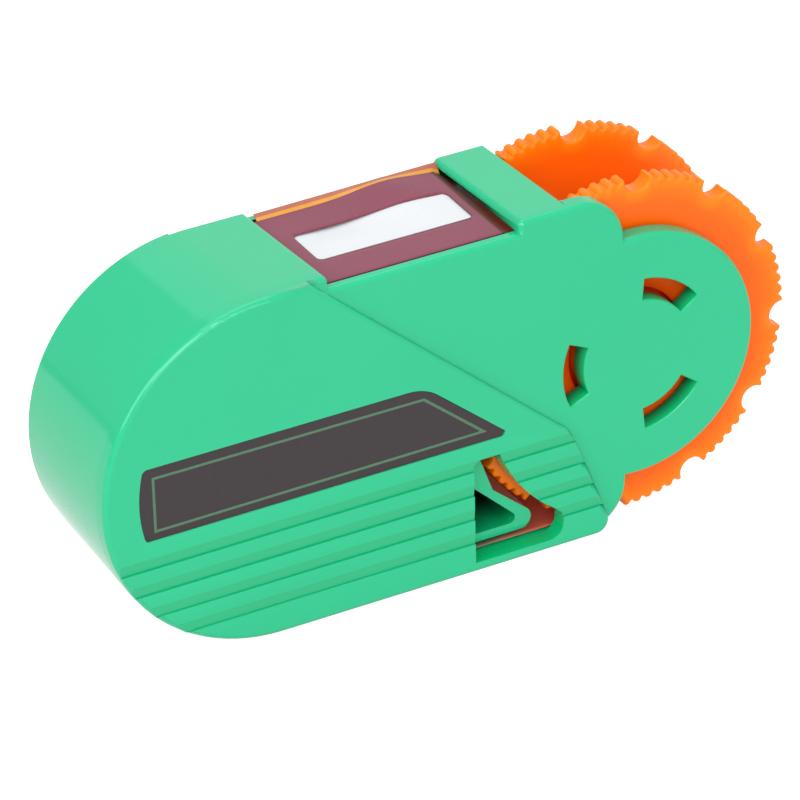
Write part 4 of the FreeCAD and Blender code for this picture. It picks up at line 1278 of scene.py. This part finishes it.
def label_line():
    """Four rings of corners: outer foot, outer top, inner top, inner foot."""
    steps = (0.0, LINE_SLOPE, LINE_WIDTH - LINE_SLOPE, LINE_WIDTH)
    rise = np.array([0.0, LINE_RISE, LINE_RISE, 0.0])[:, None]
    rings = np.array([inset(LINE_CORNERS, amount) for amount in steps])
    grid = at(rings[..., 0], LABEL_FACE - rise, rings[..., 1])
    return closed_piece("label_line", grid[None], BORDER, smooth_below=20)


settle(label_line(), "case", "label")

# %% [markdown]
# ## Screws
#
# Three screws hold the case from the back. A head is a height over its radius and angle: a low dome with a
# steep rim, sunk where the point lies inside a cross. That is again one grid, with the shank below it.

# %% Screws
SCREWS = [(-83.5, 11.25, 0.3), (-83.5, -11.25, 1.0), (-38.0, -12.0, 0.65)]
HEAD_RADIUS = 2.4
HEAD_BACK = 27.9
HEAD_SEAT = 26.52
HEAD_RIM = (0.1, 0.5)
DOME = 0.35
CROSS_DEEP = 0.75
CROSS_WIDE = (0.42, 0.12)
CROSS_LONG = (1.45, 0.25)
SHANK_RADIUS = 1.1
SHANK_END = (17.0, 16.6)
SCREW_POLE = 0.02


def cross_arm(across, along):
    """1 inside one arm of the cross and 0 outside, with soft sides and ends."""
    sides = smooth_step(CROSS_WIDE[0] - np.abs(across), 0, CROSS_WIDE[1])
    return sides * smooth_step(CROSS_LONG[0] - np.abs(along), 0, CROSS_LONG[1])


def screw_grid(x, z, turn, around=72):
    """Rings from the head's middle over the dome, the rim and the underside to the end of the shank."""
    angle = whole_turn(around)[None, :]
    radius = np.linspace(SCREW_POLE, HEAD_RADIUS - HEAD_RIM[0], 22)[:, None]
    arm_x, arm_z = radius * np.cos(angle), radius * np.sin(angle)
    cross = np.maximum(cross_arm(arm_x, arm_z), cross_arm(arm_z, arm_x))
    dome = HEAD_BACK - DOME * (radius / HEAD_RADIUS) ** 2 - CROSS_DEEP * cross
    below_r = np.array([HEAD_RADIUS, HEAD_RADIUS, SHANK_RADIUS, SHANK_RADIUS, SCREW_POLE])[:, None]
    below_y = np.array([HEAD_BACK - HEAD_RIM[1], HEAD_SEAT, HEAD_SEAT, *SHANK_END])[:, None]
    reach = np.vstack([radius, below_r])
    depth = np.vstack([dome, np.repeat(below_y, around, axis=1)])
    return at(x + reach * np.cos(angle + turn), depth, z + reach * np.sin(angle + turn))


screw_grids = np.array([screw_grid(*place) for place in SCREWS])
screws = close_ends(closed_piece("screws", screw_grids, STEEL, close_rows=False, smooth_below=35))
settle(screws, "case", "steel", "case_screws")

# %% [markdown]
# ## The other solids
#
# Hub, cap, core, rollers, pins, platen and washer keep the shape of their solids: they are plain turned or
# moulded parts. So does the label's plate. Each gets its own finish, on a merged copy with fine edges.

# %% Small parts
moulding("take_up_hub", ORANGE, "dial", "orange_dial", edge=0.08)
moulding("axle_cap", CAP, "case", "cap", edge=0.08)
moulding("label_plate", LABEL, "case", "label", edge=0.02)
moulding("supply_core", CORE, "supply", "core", edge=0.08)
moulding("guide_roller_left", INNER, "left_roller", "inner_plastic", edge=0.08)
moulding("guide_roller_right", INNER, "right_roller", "inner_plastic", edge=0.08)
moulding("pad_platen", INNER, "case", "inner_plastic", edge=0.08)
moulding("roller_pins", STEEL, "case", "steel", edge=0.05)
moulding("felt_washer", FELT, "case", "felt", edge=0.1)

# %% [markdown]
# ## Camera, floor and light
#
# The camera stands where the wheel rims, the slots and the straight edges line up with the picture: far
# away, with a long lens.

# %% Camera
AZIMUTH = 28.036
ELEVATION = 29.708
ROLL = -1.666
DISTANCE = 905.2
PIXELS_PER_MM = 6.423
IMAGE_SIDE = 800
AXIS_PIXEL = (637.92, 356.42)
SENSOR = 36.0
CLIP = (0.01, 50.0)


def stand(thing, right, up, back, place):
    """Puts a camera or light at a place, with its own three axes along the given directions."""
    axes = np.stack([right, up, back], axis=1)
    thing.matrix_world = Matrix([(*row, spot) for row, spot in zip(axes, place)] + [(0, 0, 0, 1)])
    scene.collection.objects.link(thing)


def add_camera():
    """A camera from its angles; the dial's axis point falls on its pixel."""
    az, el, roll = (math.radians(a) for a in (AZIMUTH, ELEVATION, ROLL))
    ahead = np.array([math.sin(az) * math.cos(el), math.cos(az) * math.cos(el), -math.sin(el)])
    level = np.array([math.cos(az), -math.sin(az), 0.0])
    steep = np.cross(level, ahead)
    right = math.cos(roll) * level + math.sin(roll) * steep
    up = -math.sin(roll) * level + math.cos(roll) * steep
    off = (np.array(AXIS_PIXEL) - IMAGE_SIDE / 2) / PIXELS_PER_MM
    data = bpy.data.cameras.new("photo_camera")
    data.sensor_width = SENSOR
    data.sensor_fit = "HORIZONTAL"
    data.lens = PIXELS_PER_MM * DISTANCE / IMAGE_SIDE * SENSOR
    data.clip_start, data.clip_end = CLIP
    camera = bpy.data.objects.new("photo_camera", data)
    stand(camera, right, up, -ahead, DIAL_AXIS - (right * off[0] - up * off[1] + ahead * DISTANCE) * MM)
    scene.camera = camera
    return camera


print("lens, mm:", round(add_camera().data.lens, 1))

# %% [markdown]
# The picture has a white ground with hardly a shadow. So the floor is a pale light table: near the part it
# glows, and the camera sees it nearly white everywhere.

# %% Floor
FLOOR_HALF = 3.0
FLOOR_TONES = ((0.39, 0.39, 0.39), (0.41, 0.41, 0.41))
FLOOR_SCALE = 6.0
TABLE_REACH = (0.6, 0.66)
TABLE_GLOW = 0.48
TABLE_SEEN = 0.84


def add_floor():
    """A wide pale floor that glows within the table's reach, and more strongly where the camera sees it."""
    corners = np.array([(-1, -1, 0), (1, -1, 0), (1, 1, 0), (-1, 1, 0)]) * FLOOR_HALF
    material, tree, shader = new_material("pale_floor", Roughness=0.9, Specular_IOR_Level=0.1)
    points = object_points(tree)
    pale = spread(tree, noise(tree, points, FLOOR_SCALE, 2.0), *NOISE_SPAN)
    link(tree, blend(tree, pale, *FLOOR_TONES), shader.inputs["Base Color"])
    reach = tree.nodes.new("ShaderNodeVectorMath")
    reach.operation = "LENGTH"
    link(tree, points, reach.inputs[0])
    table = spread(tree, reach.outputs["Value"], *TABLE_REACH, TABLE_GLOW, 0.0)
    path = tree.nodes.new("ShaderNodeLightPath")
    seen = reckon(tree, "MULTIPLY", path.outputs["Is Camera Ray"], TABLE_SEEN)
    glow = new_node(tree, "Emission", Strength=reckon(tree, "MAXIMUM", seen, table))
    both = tree.nodes.new("ShaderNodeAddShader")
    link(tree, shader.outputs["BSDF"], both.inputs[0])
    link(tree, glow.outputs["Emission"], both.inputs[1])
    link(tree, both.outputs["Shader"], tree.nodes["Material Output"].inputs["Surface"])
    floor = new_piece("floor", corners, np.array([[0, 1, 2, 3]]), material)


add_floor()
print("floor, m:", 2 * FLOOR_HALF)

# %% [markdown]
# An even white sky gives the bright studio look, and behind the part a screen with an upright edge shows in
# the gloss. Four large soft panels shape the front, the round end, the top and the low faces.

# %% Light
SKY = 0.95
SKY_DIM = 0.66
SKY_BRIGHT = 1.08
SCREEN_EDGE = -0.02
SCREEN_SOFT = 0.015
SCREEN_BACK = (0.1, 0.4)
AIM = np.array([0.0, 0.0, 0.03])
PANELS = [("key_panel", (-0.5, -0.95, 0.9), 0.8, 8.4), ("side_panel", (-1.1, -0.3, 0.7), 0.8, 5.8),
          ("top_panel", (0.1, 0.3, 1.3), 1.0, 3.8), ("low_panel", (0.0, -1.2, 0.3), 0.8, 3.0)]


def add_panel(name, place, size, power):
    """A large soft panel of light, turned to face the part."""
    data = bpy.data.lights.new(name, "AREA")
    data.shape = "SQUARE"
    data.size = size
    data.energy = power
    away = place - AIM
    away = away / np.linalg.norm(away)
    side = np.cross((0, 0, 1), away)
    side = side / np.linalg.norm(side)
    stand(bpy.data.objects.new(name, data), side, np.cross(away, side), away, place)


def add_sky():
    """A white sky: even in front; behind the part, a screen that is dim left of its upright edge."""
    world = bpy.data.worlds.new("white_studio")
    world.use_nodes = True
    tree = world.node_tree
    around = tree.nodes.new("ShaderNodeTexCoord").outputs["Generated"]
    screen = spread(tree, along_axis(tree, around, "X"), SCREEN_EDGE - SCREEN_SOFT, SCREEN_EDGE + SCREEN_SOFT,
                    SKY_DIM, SKY_BRIGHT)
    behind = spread(tree, along_axis(tree, around, "Y"), *SCREEN_BACK)
    change = reckon(tree, "MULTIPLY", behind, reckon(tree, "SUBTRACT", screen, SKY))
    background = tree.nodes["Background"]
    background.inputs["Color"].default_value = (1.0, 1.0, 1.0, 1.0)
    link(tree, reckon(tree, "ADD", change, SKY), background.inputs["Strength"])
    scene.world = world


add_sky()
for panel in PANELS:
    add_panel(*panel)
scene.view_settings.view_transform = "Standard"
scene.view_settings.look = "None"
print("sky and", len(PANELS), "panels are set")
